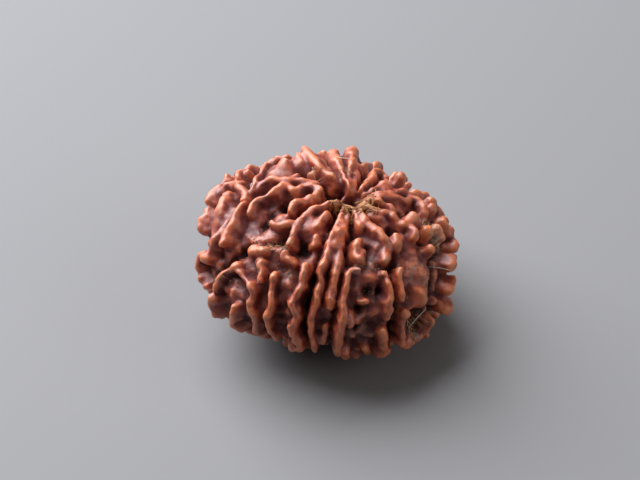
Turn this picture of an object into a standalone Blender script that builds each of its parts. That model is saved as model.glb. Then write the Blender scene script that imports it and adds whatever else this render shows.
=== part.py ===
"""A rudraksha seed: the woody stone of the Elaeocarpus ganitrus fruit, cleaned and dried.

The stone is one piece. Deep clefts run from pole to pole and part it into faces, and every face
carries ridges and pegs with rounded tops and dark pits between them. The upper pole faces up,
the stone leans a little towards +X, and it rests on the tips of the ridges round its lower pole.

A place on the stone is a longitude and a latitude in degrees. Longitude 0 is the front, at -Y,
and it grows towards +X. Heights are measured from the level that the ridges' crests reach.
"""

import math
import random

import bmesh
import bpy
from mathutils import Matrix, Vector, kdtree, noise

MM = 0.001

# The level of the ridges' crests: round from above, flattened from pole to pole.
EQUATOR_RADIUS = 13.35 * MM
POLE_RADIUS = 8.5 * MM
UPPER_DISH_DEPTH = 0.85 * MM
LOWER_DISH_DEPTH = 1.3 * MM
POLE_DISH_REACH = 0.42
# The equator's centre lies beside the axis of the poles, because one side grew fuller.
SIDE_GROWTH = 1.6 * MM
LEAN = math.radians(6)
# Where the whole stone grew fuller or flatter: longitude, latitude, spread in degrees, rise.
SWELLS = [
    (130, 46, 17, -0.75 * MM),
    (158, 46, 13, -0.5 * MM),
    (47, -17, 21, 0.6 * MM),
    (-54, -11, 18, 0.7 * MM),
    (-110, 26, 24, 0.45 * MM),
    (-95, -66, 28, 1.3 * MM),
    (90, -62, 30, -0.3 * MM),
    (-20, -36, 13, -0.75 * MM),
    (41, -37, 10, -0.6 * MM),
]

FLOOR_AT_EQUATOR = -1.1 * MM
FLOOR_NEAR_POLES = -1.05 * MM
# From this height on the round globe up, the floor rises from the one level to the other.
FLOOR_CHANGE_STARTS = 0.64
FLOOR_CHANGE_REACH = 0.26
FLOOR_ROUGHNESS = 0.35 * MM
FLOOR_LUMPS = 9
CLEFT_DEPTH = 1.0 * MM
CLEFT_HALF_WIDTH = 0.5 * MM
CLEFT_STEP = 0.3 * MM
STALK_PIT_DEPTH = 2.4 * MM
STALK_PIT_HALF_WIDTH = 0.6 * MM
# A low collar stands round the pit where the stalk's strand left the stone, and round the lower one.
COLLAR_RISE = 0.6 * MM
COLLAR_RADIUS = 1.1 * MM
COLLAR_HALF_WIDTH = 0.4 * MM

# Ridges and pegs stand on a root inside the floor, and half widths are scaled at crown and foot.
RIDGE_ROOT = -3.0 * MM
RIDGE_CROWN = 0.68
RIDGE_FOOT = 1.75
CROWN_POINTS = 7
RIDGE_STEP = 0.3 * MM
# The blunt end of a ridge starts at this share of its half width.
RIDGE_BLUNTNESS = 0.1
# Along a ridge its width, its crest and its line wander.
RIDGE_SWELL = 0.36
CREST_WAVE = 0.45 * MM
RIDGE_WOBBLE = 0.16 * MM
WAVE_LENGTH = 2.0 * MM
KNOB_LENGTH = 0.85 * MM
KNOB_SHARE = 0.6
# The waves are read from places in the noise that are far apart.
WAVE_SHIFTS = (0, 40, 80)
KNOB_SHIFT = 20
# Ridges thin out where they crowd together round a pole.
POLE_TAPER = 0.48
POLE_TAPER_REACH = 0.4
PEG_SUBDIVISIONS = 3
PEG_SIDES = 16
# A peg's shaft meets its round top just inside it.
PEG_SHAFT = 0.99

BLANK_SUBDIVISIONS = 6
VOXEL = 0.2 * MM
SMOOTH_ROUNDS = 5
MOST_TRIANGLES = 10600
# The plane that the lowest crests are worn flat on, below the middle of the stone.
REST_DEPTH = 7.85 * MM
SLAB_WIDTH = 40 * MM
SLAB_THICKNESS = 6 * MM

STONE_COLOUR = (0.33, 0.085, 0.04, 1)
STONE_ROUGHNESS = 0.45

# Each cleft as the places that it passes, from the upper pole to the lower one.
CLEFTS = [
    [(8, 80), (5, 70), (2.5, 58), (1, 45), (1.3, 31), (2.3, 19), (3, 8), (2.6, -2), (3, -25), (6, -80)],
    [(40, 80), (38, 70), (40, 60), (37, 50), (33, 40), (31.5, 30), (31.5, 18), (32, 0), (34, -40), (38, -80)],
    [(72, 80), (73, 72), (71, 64), (71, 55), (68, 47), (67, 32), (62, 22), (58, 5), (60, -30), (68, -80)],
    [(98, 80), (104, 73), (108, 66), (109, 60), (112, 55), (104, 46), (94, 34), (86, 18), (84, -10),
     (92, -80)],
    [(128, 80), (134, 73), (141, 66), (141, 55), (130, 35), (120, 5), (119, -40), (122, -80)],
    [(152, 80), (157, 72), (158, 62), (150, 42), (147, 0), (149, -40), (152, -80)],
    [(-176, 80), (-172, 72), (-175, 62), (-179, 42), (178, 0), (180, -40), (-177, -80)],
    [(-160, 80), (-161, 70), (-164, 60), (-160, 42), (-155, 0), (-156, -40), (-158, -80)],
    [(-138, 80), (-131, 71), (-130, 60), (-138, 48), (-131, 20), (-129, -20), (-134, -80)],
    [(-116, 81), (-118, 75), (-118, 70), (-112, 65), (-106, 61), (-102, 56), (-97, 52), (-94, 46),
     (-98, 34), (-104, 6), (-106, -30), (-110, -80)],
    [(-70, 81), (-70, 75), (-64, 67), (-57, 61), (-51, 55), (-48, 50), (-55, 42), (-61, 32), (-63, 20),
     (-64, 4), (-65, -25), (-68, -80)],
    [(-32, 80), (-27, 72), (-21, 62), (-17, 54), (-15.5, 44), (-13.5, 32), (-13, 22), (-11.5, 8),
     (-10, -6), (-11, -25), (-20, -80)],
]

# Ridges that show from the front and from above: half width and crest height in millimetres,
# then the places that the crest passes. A third number at a place scales the half width there.
# They are grouped by the face that they stand on.
RIDGES = [
    # front left face, upper part
    (0.62, 0.15, [(-58, 84.5), (-60, 77), (-58, 69), (-54, 63.5), (-49, 59.5), (-44.5, 55), (-41, 51),
                  (-39, 48)]),
    (0.75, -0.15, [(-44, 77), (-42, 72), (-37, 67), (-33, 64)]),
    (0.60, 0.05, [(-28, 62, 0.8), (-26.5, 57.5, 1.1), (-26, 54)]),
    # front left face, lower part
    (0.55, 0.15, [(-38, 46), (-36.5, 43), (-32, 42.5), (-27, 41.5)]),
    (0.50, 0.20, [(-22.3, 45.5), (-21, 42), (-20, 38), (-18.8, 32), (-18.8, 27), (-18.7, 23), (-18.2, 20),
                  (-16.8, 16), (-15.8, 12), (-15.8, 8), (-16, 3.5)]),
    (0.56, 0.15, [(-16, 4), (-15.3, -1), (-13.8, -6), (-12, -12), (-13, -22), (-15, -34)]),
    (0.52, 0.15, [(-35.5, 34), (-33, 28), (-31.4, 22), (-28.8, 17), (-28, 12), (-28.2, 6), (-27, 1),
                  (-26, -6), (-24, -18)]),
    (0.56, 0.10, [(-54, 22, 0.7), (-48.5, 20.5, 0.7), (-44, 20, 0.75), (-40.5, 18.5, 0.9), (-38, 13.5),
                  (-37.5, 7.5), (-36.5, 3), (-34.3, -1), (-34, -8), (-33.5, -20)]),
    (0.85, 0.05, [(-59, 34.5), (-54, 36), (-50, 38.5), (-47, 41)]),
    (0.52, 0.00, [(-46, 36), (-44, 32), (-41, 30), (-40.2, 26.5), (-37.4, 24)]),
    (0.66, 0.40, [(-44, 2), (-44.5, -8), (-46, -16), (-47, -24)]),
    # front face, two long ridges with a shallow channel between them
    (0.50, 0.15, [(-19, 84.5), (-17.5, 75), (-15.5, 68.5), (-14.3, 60), (-12.5, 53.5), (-12, 49), (-12, 45),
                  (-11, 40.5, 0.85), (-10, 36, 0.6)]),
    (0.62, 0.00, [(-7, 81), (-6.5, 73), (-5.5, 64), (-4.5, 56), (-3.7, 49), (-3.2, 41), (-2.7, 32),
                  (-2.4, 25), (-1.8, 20)]),
    (0.46, -0.05, [(-10, 40), (-9.4, 33), (-8.7, 25), (-8.5, 17.5), (-8.4, 10), (-7.8, 3.5), (-6.6, -4),
                   (-6, -11), (-6.5, -24)]),
    (0.45, -0.55, [(-1, 9), (-1.5, -2), (-2.5, -14)]),
    # front right face, upper part
    (0.68, 0.10, [(22, 84.5), (25, 75), (30, 68), (33, 63), (34.6, 58), (33, 53), (29.5, 49.3),
                  (26.5, 47.8)]),
    (0.60, 0.10, [(11, 84.5), (13.5, 76), (15.5, 71), (16.5, 68)]),
    (0.58, 0.20, [(14, 63), (10, 61), (7.8, 57), (7.8, 53), (11, 51.4), (15, 52.5)]),
    # front right face, lower part
    (0.56, 0.20, [(12, 44.5), (8, 45.6), (5.2, 44), (3.9, 39), (3.6, 32), (4.4, 25), (5.1, 18), (5.4, 10),
                  (5.3, 0), (5.6, -10), (5.6, -24)]),
    (0.55, -0.05, [(8, 21), (8.8, 15), (9, 8)]),
    (0.50, 0.10, [(24.5, 40.3), (28, 41), (28.3, 35, 0.8), (28.5, 28, 0.8), (27.6, 22), (27.3, 16), (27, 9)]),
    (0.60, 0.10, [(25, 4), (25.5, -3), (26, -10), (27.5, -19), (29, -28)]),
    (0.42, -0.25, [(10.5, 26.5), (13.5, 26.3), (17.5, 25)]),
    (0.55, -0.10, [(17, -13), (20, -24)]),
    # right face
    (0.62, 0.10, [(50, 84.5), (58, 75), (66, 70), (64.5, 65.5), (65, 62), (66, 58.5), (65.3, 55), (62, 52),
                  (59.5, 49)]),
    (0.80, -0.15, [(46, 80), (52, 73), (56, 70)]),
    (0.66, 0.20, [(46.3, 60.5), (45, 57), (43, 53), (41.5, 50)]),
    (0.46, 0.00, [(39, 41), (37, 38.5), (35.5, 34), (35.2, 27), (35.2, 20)]),
    (0.50, -0.15, [(35.5, 14), (36.3, 9), (35.2, 4), (35.2, -3), (36, -10)]),
    (0.55, 0.25, [(53, -5), (52, -12), (48, -18), (42, -20), (37, -17), (35, -11)]),
    (0.70, 0.45, [(92, 20), (84, 17)]),
    (0.85, 0.60, [(81, 18.5), (75, 17), (71, 18)]),
    (0.85, 0.60, [(76, 5.5), (70, 4.5), (64, 5.5)]),
    (0.80, 0.65, [(70, -6), (65, -7), (60, -5.5)]),
    # right shoulder
    (0.62, 0.15, [(91, 84.5), (98, 74.5), (102, 67.5), (101.5, 62), (104, 58.5), (107.5, 55), (104.5, 51.5),
                  (98, 49.5), (92, 47.5)]),
    (0.58, 0.05, [(82, 84.5), (85, 76), (82.5, 71.5), (78, 67)]),
    (0.60, -0.15, [(88, 42), (84, 36), (80, 31)]),
    (0.60, 0.30, [(98, 27), (91, 20), (86, 14)]),
    (0.62, 0.15, [(120, 84.5), (124, 76.5), (127, 73), (133, 66.5), (137, 61)]),
    (0.60, 0.20, [(103, 81), (107, 73), (111.5, 67), (115.5, 63.5), (117, 60), (116, 57), (113.5, 53),
                  (115, 46)]),
    # back right
    (0.62, 0.35, [(141, 84.5), (145, 76), (148, 70), (150, 64), (149, 58.5), (143, 57), (138, 58)]),
    # back
    (0.45, 0.25, [(-179, 86.5), (179, 74), (176.5, 67)]),
    (0.65, 0.10, [(166, 86), (168, 72), (172, 66), (168, 60)]),
    (0.75, 0.60, [(178, 71, 0.6), (176, 63), (174.5, 56)]),
    (0.95, 1.05, [(175, 60, 0.6), (174, 52), (173, 44)]),
    (0.70, 0.15, [(166, 58), (162, 52), (160, 43)]),
    (0.60, 0.55, [(-168, 86.5, 0.6), (-168, 72, 1.1), (-170, 61, 1.6), (-173, 51, 1.8), (-175, 45, 1.6)]),
    # back left
    (0.66, 0.35, [(-150, 81), (-153, 71), (-157, 62), (-160, 54)]),
    (0.75, 1.15, [(-140, 80), (-142, 69), (-149, 57), (-156, 45)]),
    (0.55, 0.05, [(-138, 76), (-134, 71), (-132, 65)]),
    (0.80, 0.40, [(-131, 42), (-139, 42), (-147, 46)]),
    # left shoulder
    (0.55, 0.20, [(-101, 47), (-106, 48.5), (-109, 51), (-109.5, 55), (-111, 59), (-115, 65), (-121, 71),
                  (-125, 74)]),
    (0.42, 0.10, [(-110, 57), (-115, 60), (-120, 62), (-126, 63)]),
    (0.48, 0.30, [(-99, 45), (-105, 46), (-111, 45.5), (-118, 44.5), (-125, 43), (-131, 42)]),
    (0.62, 0.25, [(-102, 77), (-110, 75.5), (-114, 73.5), (-113, 70), (-106, 67), (-100, 65), (-104, 62),
                  (-102, 59), (-96, 55.5, 0.9), (-92, 51.5, 0.8), (-88, 48, 0.75), (-83, 45, 0.75),
                  (-78, 43.5, 0.7)]),
    (0.72, 0.20, [(-112, 73.5), (-100, 75, 1.3), (-88, 73.5, 1.2), (-80, 69.5), (-75, 65.5, 0.8),
                  (-70, 62.5, 0.8), (-65, 61, 0.8)]),
    (0.62, 0.10, [(-66, 51), (-61, 52), (-57, 54.5), (-56, 58), (-59, 60.5)]),
    # left side
    (0.75, 0.35, [(-91, 43.5, 0.5), (-86, 40.5, 0.55), (-81, 37.5, 0.7), (-77, 34), (-74, 30), (-71.5, 26.5),
                  (-68.5, 23.5)]),
    (0.42, 0.10, [(-84, 32), (-80, 28.5), (-77.5, 24.5), (-76, 21)]),
    (0.95, 0.10, [(-108, 30), (-98, 29), (-91, 26), (-86, 21)]),
    (0.65, 0.15, [(-113, 33), (-105, 38), (-98, 42), (-92, 40)]),
    (0.62, 0.65, [(-122, 24), (-116, 19.5), (-110, 17.5), (-104, 15)]),
    (0.65, 0.40, [(-134, 30), (-127, 30), (-121, 31), (-115, 33)]),
    (0.75, 0.30, [(-104, 15), (-98, 11), (-92, 4)]),
    (0.55, 0.20, [(-80, 30), (-76, 24), (-74.3, 17), (-73, 12), (-71, 8)]),
    (0.66, 0.35, [(-71, 9), (-76, 6), (-79, -1), (-76, -9), (-70, -12), (-66, -9)]),
    (0.62, 0.10, [(-53, 25), (-55.5, 20), (-57.5, 14.5), (-58.6, 9), (-58.6, 3), (-58.6, -4)]),
    (0.85, 0.80, [(-57, -4), (-58, -10), (-56, -16), (-54, -21)]),
    (0.70, -0.55, [(-52, 8), (-48, 1)]),
]

# Pegs that stand alone: longitude, latitude, half width and height in millimetres.
PEGS = [
    (13.7, 55.5, 0.42, 0.00),
    (-19.5, 20.3, 0.52, 0.25),
    (-16.4, 3.5, 0.50, 0.25),
    (-13.4, -8, 0.55, 0.30),
    (-36.8, 5, 0.55, 0.20),
    (27.4, 17, 0.58, 0.15),
    (36.8, 9.5, 0.52, 0.15),
    (29.5, -24, 0.60, 0.30),
    (71, 58.5, 0.65, 0.20),
    (76, 57.5, 0.78, 0.55),
    (74, 46.5, 0.74, 0.50),
    (64.5, 39, 0.60, 0.45),
    (101, 42.5, 0.58, 0.50),
    (111, 37, 0.62, 0.55),
    (128, 57, 0.62, 1.35),
    (57.5, 3, 0.45, -0.30),
    (-47, 33, 0.60, -0.45),
    (-97, 9, 0.70, 0.50),
]

# Soft rises and pits of the floor: longitude, latitude, reach and rise in millimetres.
MOUNDS = [
    (-47, 67, 1.5, 0.9),
    (-32.5, 52.5, 1.0, -1.5),
    (-24, 66, 0.7, 0.4),
    (-12, 73, 0.7, 1.0),
    (-11, 66, 0.9, 1.35),
    (-9.5, 58, 0.9, 1.3),
    (-8.5, 50, 0.75, 0.9),
    (22, 76, 1.4, 0.45),
    (17.5, 58, 0.55, -0.91),
    (30, 58, 0.8, 0.45),
    (17.5, 41, 1.1, 0.5),
    (17.5, 33, 0.6, -1.17),
    (25, 32, 0.5, -1.17),
    (13, 20.5, 0.5, -1.04),
    (12, 3, 0.5, -0.65),
    (21, 5, 0.6, -0.52),
    (13, 11, 0.45, 0.5),
    (53, 63, 0.6, -1.17),
    (54, 55, 1.1, 0.5),
    (56, 71, 0.9, 0.4),
    (50, 36, 1.5, 0.5),
    (54, 26, 1.3, 0.6),
    (47, 17, 1.0, 1.25),
    (50, 8, 0.8, 0.6),
    (46, -5, 1.25, -1.9),
    (79, 63, 0.8, -1.6),
    (90, 57, 0.7, -0.91),
    (92, 65, 1.0, 0.3),
    (72, 31, 0.6, -1.04),
    (120, 71, 1.2, 1.1),
    (143, 66, 1.2, 1.5),
    (124, 63, 1.0, 0.6),
    (172, 72, 1.0, 0.9),
    (170, 51, 1.3, 1.1),
    (-149, 65, 1.4, 1.5),
    (-155, 55, 1.5, 1.4),
    (-138, 56, 1.5, 1.3),
    (-132, 49, 2.1, 0.85),
    (-128, 55, 1.4, 1.0),
    (-118, 51, 0.8, 0.5),
    (-113, 37, 0.6, -0.91),
    (-87, 61, 0.9, -1.43),
    (-80, 53, 0.7, -0.78),
    (-71, 48.5, 0.8, -1.30),
    (-122, 81, 0.85, -1.9),
    (-78, 76.5, 0.6, -1.04),
    (-93, 68, 0.6, -1.2),
    (-66, 55.5, 0.9, 0.75),
    (-52, 43.5, 1.3, 0.7),
    (-62, 31, 0.8, -0.78),
    (-66, 0, 0.6, -1.04),
    (-88, 24, 1.6, 0.7),
    (-99, 33, 1.3, 0.4),
    (-34, 38, 0.8, -0.39),
]

# The faces of the hidden back, between the longitudes of the clefts beside them.
BACK_FACES = [(88, 118), (120, 148), (149, 178), (-179, -156), (-154, -131), (-129, -106)]
BACK_TOP_LATITUDE = 38
# The faces under the equator, all the way round.
LOWER_FACES = [
    (3, 33), (35, 58), (61, 84), (86, 118), (120, 148), (149, 179),
    (-180, -156), (-155, -130), (-129, -105), (-103, -67), (-65, -39), (-37, -11),
]
LOWER_TOP_LATITUDE = -18
LOWER_END_LATITUDE = -80
# On those faces broken ridges run beside the clefts. Degrees from a cleft to its ridge and how far the
# ridge strays, the lengths of the ridges and of the gaps between them in degrees, and their half
# widths and crest heights in millimetres.
EDGE_MARGIN = 4.5
EDGE_STRAY = (-1.2, 2.6)
EDGE_LENGTHS = (16, 34)
EDGE_GAPS = (3, 5)
EDGE_HALF_WIDTHS = (0.5, 0.66)
EDGE_CRESTS = (0.0, 0.35)
EDGE_PLACE_STEP = 6
# Between them stand pegs and short ridges.
INNER_MARGIN = 4
INNER_END_LATITUDE = -66
INNER_GAPS = (6, 11)
INNER_LENGTHS = (5, 9)
INNER_HALF_WIDTHS = (0.42, 0.6)
INNER_CRESTS = (-0.4, 0.15)
PEG_SHARE = 0.5
PEG_HALF_WIDTHS = (0.45, 0.7)
PEG_HEIGHTS = (-0.4, 0.3)
RELIEF_SEED = 12


def unit(longitude, latitude):
    """The direction of a place on a round globe, which smooth paths are drawn on."""
    around, up = math.radians(longitude), math.radians(latitude)
    return Vector((math.cos(up) * math.sin(around), -math.cos(up) * math.cos(around), math.sin(up)))


def place_of(direction):
    """The longitude and latitude that a direction from the middle points at."""
    return (
        math.degrees(math.atan2(direction.x, -direction.y)),
        math.degrees(math.asin(max(-1, min(1, direction.z / direction.length)))),
    )


def crest_level(longitude, latitude):
    """The point at the level of the crests, and the direction that points out of the stone there."""
    around, up = math.radians(longitude), math.radians(latitude)
    reach = math.cos(up)
    point = Vector((
        EQUATOR_RADIUS * reach * math.sin(around) - SIDE_GROWTH * (reach * reach - 0.5),
        -EQUATOR_RADIUS * reach * math.cos(around),
        POLE_RADIUS * math.sin(up),
    ))
    dished = math.exp(-(reach / POLE_DISH_REACH) ** 2)
    point.z -= UPPER_DISH_DEPTH * dished if up > 0 else -LOWER_DISH_DEPTH * dished
    outward = Vector((
        reach * math.sin(around) / EQUATOR_RADIUS,
        -reach * math.cos(around) / EQUATOR_RADIUS,
        math.sin(up) / POLE_RADIUS,
    )).normalized()
    here = unit(longitude, latitude)
    for swell_longitude, swell_latitude, spread, rise in SWELLS:
        apart = here.angle(unit(swell_longitude, swell_latitude))
        point += outward * rise * math.exp(-(apart / math.radians(spread)) ** 2)
    return point, outward


def smooth_path(places, step):
    """Places a step apart on a smooth curve through the given ones, drawn on the round globe.

    Each place found has a third number, the width scale there, which is 1 where none is given.
    """
    knots = [unit(*place[:2]) for place in places]
    knots = [knots[0] * 2 - knots[1], *knots, knots[-1] * 2 - knots[-2]]
    scales = [place[2] if len(place) > 2 else 1 for place in places]
    path = []
    for k in range(len(places) - 1):
        before, start, end, after = knots[k:k + 4]
        count = max(2, math.ceil((end - start).length * EQUATOR_RADIUS / step))
        for i in range(count):
            t = i / count
            direction = (
                start * 2
                + (end - before) * t
                + (before * 2 - start * 5 + end * 4 - after) * t * t
                + (start * 3 - before - end * 3 + after) * t ** 3
            )
            path.append((*place_of(direction), scales[k] + (scales[k + 1] - scales[k]) * t))
    path.append((*places[-1][:2], scales[-1]))
    return path


def ridge_section(half_width, top):
    """One section of a ridge: a round crown on two walls that spread towards the root."""
    crown = half_width * RIDGE_CROWN
    section = []
    for k in range(CROWN_POINTS):
        turn = math.pi * k / (CROWN_POINTS - 1)
        section.append((crown * math.cos(turn), top - crown * (1 - math.sin(turn))))
    section.append((-half_width * RIDGE_FOOT, RIDGE_ROOT))
    section.append((half_width * RIDGE_FOOT, RIDGE_ROOT))
    return section


def sweep(mesh, stations):
    """A closed body through sections, each given as its points in space."""
    rings = [[mesh.verts.new(point) for point in station] for station in stations]
    for ring, following in zip(rings, rings[1:]):
        for k in range(len(ring)):
            beside = (k + 1) % len(ring)
            mesh.faces.new((ring[k], following[k], following[beside], ring[beside]))
    mesh.faces.new(rings[0])
    mesh.faces.new(reversed(rings[-1]))


def frames_along(places, step):
    """Points a step apart along a path, each with its outward and sideways directions."""
    points = [crest_level(*place[:2]) for place in smooth_path(places, step)]
    frames = []
    for i, (point, outward) in enumerate(points):
        along = points[min(i + 1, len(points) - 1)][0] - points[max(i - 1, 0)][0]
        frames.append((point, outward, along.cross(outward).normalized()))
    return frames


def wander(point):
    """Three numbers around 0 that change from point to point, in long waves with knobs on them."""
    return [
        noise.noise(point / WAVE_LENGTH + Vector((shift, 0, 0)))
        + KNOB_SHARE * noise.noise(point / KNOB_LENGTH + Vector((shift, KNOB_SHIFT, 0)))
        for shift in WAVE_SHIFTS
    ]


def add_ridge(mesh, half_width, crest, places):
    """A wall with a round crown and rounded ends along a smooth path, rooted under the floor."""
    frames = frames_along(places, RIDGE_STEP)
    scales = [place[2] for place in smooth_path(places, RIDGE_STEP)]
    lengths = [0.0]
    for here, there in zip(frames, frames[1:]):
        lengths.append(lengths[-1] + (there[0] - here[0]).length)
    stations = []
    for (point, outward, side), length, scale in zip(frames, lengths, scales):
        to_end = min(length, lengths[-1] - length) / half_width
        ending = math.sqrt(1 - max(0, 1 - to_end - RIDGE_BLUNTNESS) ** 2)
        wave, swell, wobble = wander(point)
        poleward = min(1, math.hypot(point.x, point.y) / (EQUATOR_RADIUS * POLE_TAPER_REACH))
        width = half_width * scale * ending * (1 + RIDGE_SWELL * swell)
        width *= POLE_TAPER + (1 - POLE_TAPER) * poleward
        top = crest + CREST_WAVE * wave - (1 - ending) * half_width
        stations.append([
            point + side * (across + RIDGE_WOBBLE * wobble) + outward * up
            for across, up in ridge_section(width, top)
        ])
    sweep(mesh, stations)


def add_peg(mesh, longitude, latitude, half_width, height):
    """A blunt peg with a round top, rooted under the floor."""
    point, outward = crest_level(longitude, latitude)
    turned = outward.to_track_quat("Z", "Y").to_matrix().to_4x4()
    top = Matrix.Translation(point + outward * (height - half_width)) @ turned
    tall = height - half_width - RIDGE_ROOT
    shaft = Matrix.Translation(point + outward * (RIDGE_ROOT + tall / 2)) @ turned
    bmesh.ops.create_icosphere(mesh, subdivisions=PEG_SUBDIVISIONS, radius=half_width, matrix=top)
    bmesh.ops.create_cone(
        mesh, cap_ends=True, segments=PEG_SIDES, matrix=shaft, depth=tall,
        radius1=half_width * RIDGE_FOOT, radius2=half_width * PEG_SHAFT,
    )


def add_core(mesh):
    """The body under the ridges: a round blank pressed to shape, cleft and pitted."""
    cleft_points = [
        crest_level(*place[:2])[0] for cleft in CLEFTS for place in smooth_path(cleft, CLEFT_STEP)
    ]
    clefts = kdtree.KDTree(len(cleft_points))
    for i, point in enumerate(cleft_points):
        clefts.insert(point, i)
    clefts.balance()
    mounds = [(crest_level(*mound[:2])[0], mound[2] * MM, mound[3] * MM) for mound in MOUNDS]
    core = bmesh.ops.create_icosphere(mesh, subdivisions=BLANK_SUBDIVISIONS, radius=1)
    for vertex in core["verts"]:
        direction = vertex.co.normalized()
        point, outward = crest_level(*place_of(direction))
        poleward = max(0, min(1, (abs(direction.z) - FLOOR_CHANGE_STARTS) / FLOOR_CHANGE_REACH))
        height = FLOOR_AT_EQUATOR + (FLOOR_NEAR_POLES - FLOOR_AT_EQUATOR) * poleward
        height += FLOOR_ROUGHNESS * noise.noise(direction * FLOOR_LUMPS)
        for middle, reach, rise in mounds:
            height += rise * math.exp(-((point - middle).length / reach) ** 2)
        nearest = clefts.find(point)[2]
        height -= CLEFT_DEPTH * math.exp(-(nearest / CLEFT_HALF_WIDTH) ** 2)
        from_axis = math.hypot(direction.x, direction.y) * EQUATOR_RADIUS
        height -= STALK_PIT_DEPTH * math.exp(-(from_axis / STALK_PIT_HALF_WIDTH) ** 2)
        height += COLLAR_RISE * math.exp(-((from_axis - COLLAR_RADIUS) / COLLAR_HALF_WIDTH) ** 2)
        vertex.co = point + outward * height


def face_relief(rng, west, east, top, end):
    """A face that follows the rule: broken ridges along its edges, shorter ones and pegs between."""
    ridges, pegs = [], []
    middle = (west + east) / 2
    for edge, inward in ((west, 1), (east, -1)):
        latitude = top + rng.uniform(-3, 3)
        while latitude > end + EDGE_PLACE_STEP:
            stop = max(end, latitude - rng.uniform(*EDGE_LENGTHS))
            steps = max(2, round((latitude - stop) / EDGE_PLACE_STEP))
            places = []
            for i in range(steps + 1):
                at = latitude + (stop - latitude) * i / steps
                spread = min(1.6, 1 / max(0.2, math.cos(math.radians(at))))
                stray = inward * (EDGE_MARGIN + rng.uniform(*EDGE_STRAY)) * spread
                places.append((edge + stray, at))
            ridges.append((rng.uniform(*EDGE_HALF_WIDTHS), rng.uniform(*EDGE_CRESTS), places))
            latitude = stop - rng.uniform(*EDGE_GAPS)
    room = (east - west) / 2 - EDGE_MARGIN - INNER_MARGIN
    latitude = top - rng.uniform(2, 8)
    while latitude > max(end, INNER_END_LATITUDE):
        across = rng.uniform(-room, room)
        if rng.random() < PEG_SHARE:
            half_width, height = rng.uniform(*PEG_HALF_WIDTHS), rng.uniform(*PEG_HEIGHTS)
            pegs.append((middle + across, latitude, half_width, height))
        else:
            lower = latitude - rng.uniform(*INNER_LENGTHS)
            places = [(middle + across, latitude), (middle - across * rng.uniform(0, 1), lower)]
            ridges.append((rng.uniform(*INNER_HALF_WIDTHS), rng.uniform(*INNER_CRESTS), places))
            latitude = lower
        latitude -= rng.uniform(*INNER_GAPS)
    return ridges, pegs


def all_relief():
    """The ridges and pegs of the whole stone: those placed by hand, then those that follow the rule."""
    rng = random.Random(RELIEF_SEED)
    ridges, pegs = list(RIDGES), list(PEGS)
    for west, east in BACK_FACES:
        more_ridges, more_pegs = face_relief(rng, west, east, BACK_TOP_LATITUDE, LOWER_TOP_LATITUDE)
        ridges += more_ridges
        pegs += more_pegs
    for west, east in LOWER_FACES:
        more_ridges, more_pegs = face_relief(rng, west, east, LOWER_TOP_LATITUDE, LOWER_END_LATITUDE)
        ridges += more_ridges
        pegs += more_pegs
    return ridges, pegs


def carved_blank():
    """The mesh of the core with every ridge and peg standing in it, leaning as the stone lies."""
    mesh = bmesh.new()
    add_core(mesh)
    ridges, pegs = all_relief()
    for half_width, crest, places in ridges:
        add_ridge(mesh, half_width * MM, crest * MM, places)
    for longitude, latitude, half_width, height in pegs:
        add_peg(mesh, longitude, latitude, half_width * MM, height * MM)
    mesh.transform(Matrix.Translation((0, 0, REST_DEPTH)) @ Matrix.Rotation(LEAN, 4, "Y"))
    return mesh


def stone_material():
    material = bpy.data.materials.new("stone")
    material.use_nodes = True
    shader = material.node_tree.nodes["Principled BSDF"]
    shader.inputs["Base Color"].default_value = STONE_COLOUR
    shader.inputs["Roughness"].default_value = STONE_ROUGHNESS
    shader.inputs["Metallic"].default_value = 0
    return material


def make_ground_cutter():
    """A slab under the stone that wears its lowest crests flat."""
    bpy.ops.mesh.primitive_cube_add(size=1)
    slab = bpy.context.object
    slab.name = "ground_cutter"
    slab.data.transform(Matrix.Diagonal((SLAB_WIDTH, SLAB_WIDTH, SLAB_THICKNESS, 1)))
    slab.data.transform(Matrix.Translation((0, 0, -SLAB_THICKNESS / 2)))
    slab.hide_render = True
    slab.display_type = "WIRE"
    return slab


def make_stone(ground_cutter):
    """Fuses the relief into one skin, softens it, thins its triangles and flattens its foot."""
    blank = carved_blank()
    data = bpy.data.meshes.new("rudraksha_seed")
    blank.to_mesh(data)
    blank.free()
    stone = bpy.data.objects.new("rudraksha_seed", data)
    bpy.context.scene.collection.objects.link(stone)
    data.materials.append(stone_material())

    fuse = stone.modifiers.new("fuse", "REMESH")
    fuse.mode = "VOXEL"
    fuse.voxel_size = VOXEL
    fuse.use_smooth_shade = True
    soften = stone.modifiers.new("soften", "SMOOTH")
    soften.factor = 0.5
    soften.iterations = SMOOTH_ROUNDS
    thin = stone.modifiers.new("thin", "DECIMATE")
    thin.decimate_type = "COLLAPSE"
    thin.use_collapse_triangulate = True
    thin.ratio = MOST_TRIANGLES / triangle_count(stone)
    foot = stone.modifiers.new("foot", "BOOLEAN")
    foot.operation = "DIFFERENCE"
    foot.object = ground_cutter
    return stone


def triangle_count(obj):
    graph = bpy.context.evaluated_depsgraph_get()
    graph.update()
    mesh = obj.evaluated_get(graph).to_mesh()
    mesh.calc_loop_triangles()
    return len(mesh.loop_triangles)


def centre_over_origin(stone):
    """Moves the stone level, until the middle of its box is over the origin."""
    graph = bpy.context.evaluated_depsgraph_get()
    graph.update()
    points = [vertex.co for vertex in stone.evaluated_get(graph).to_mesh().vertices]
    for axis in (0, 1):
        values = [point[axis] for point in points]
        stone.location[axis] = -(min(values) + max(values)) / 2


def main():
    for obj in list(bpy.data.objects):
        bpy.data.objects.remove(obj)
    stone = make_stone(make_ground_cutter())
    centre_over_origin(stone)


if __name__ == "__main__":
    main()
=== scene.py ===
import math
import random

import bmesh
import bpy
import numpy as np
from mathutils import Matrix, Vector, kdtree, noise
from mathutils.bvhtree import BVHTree


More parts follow.
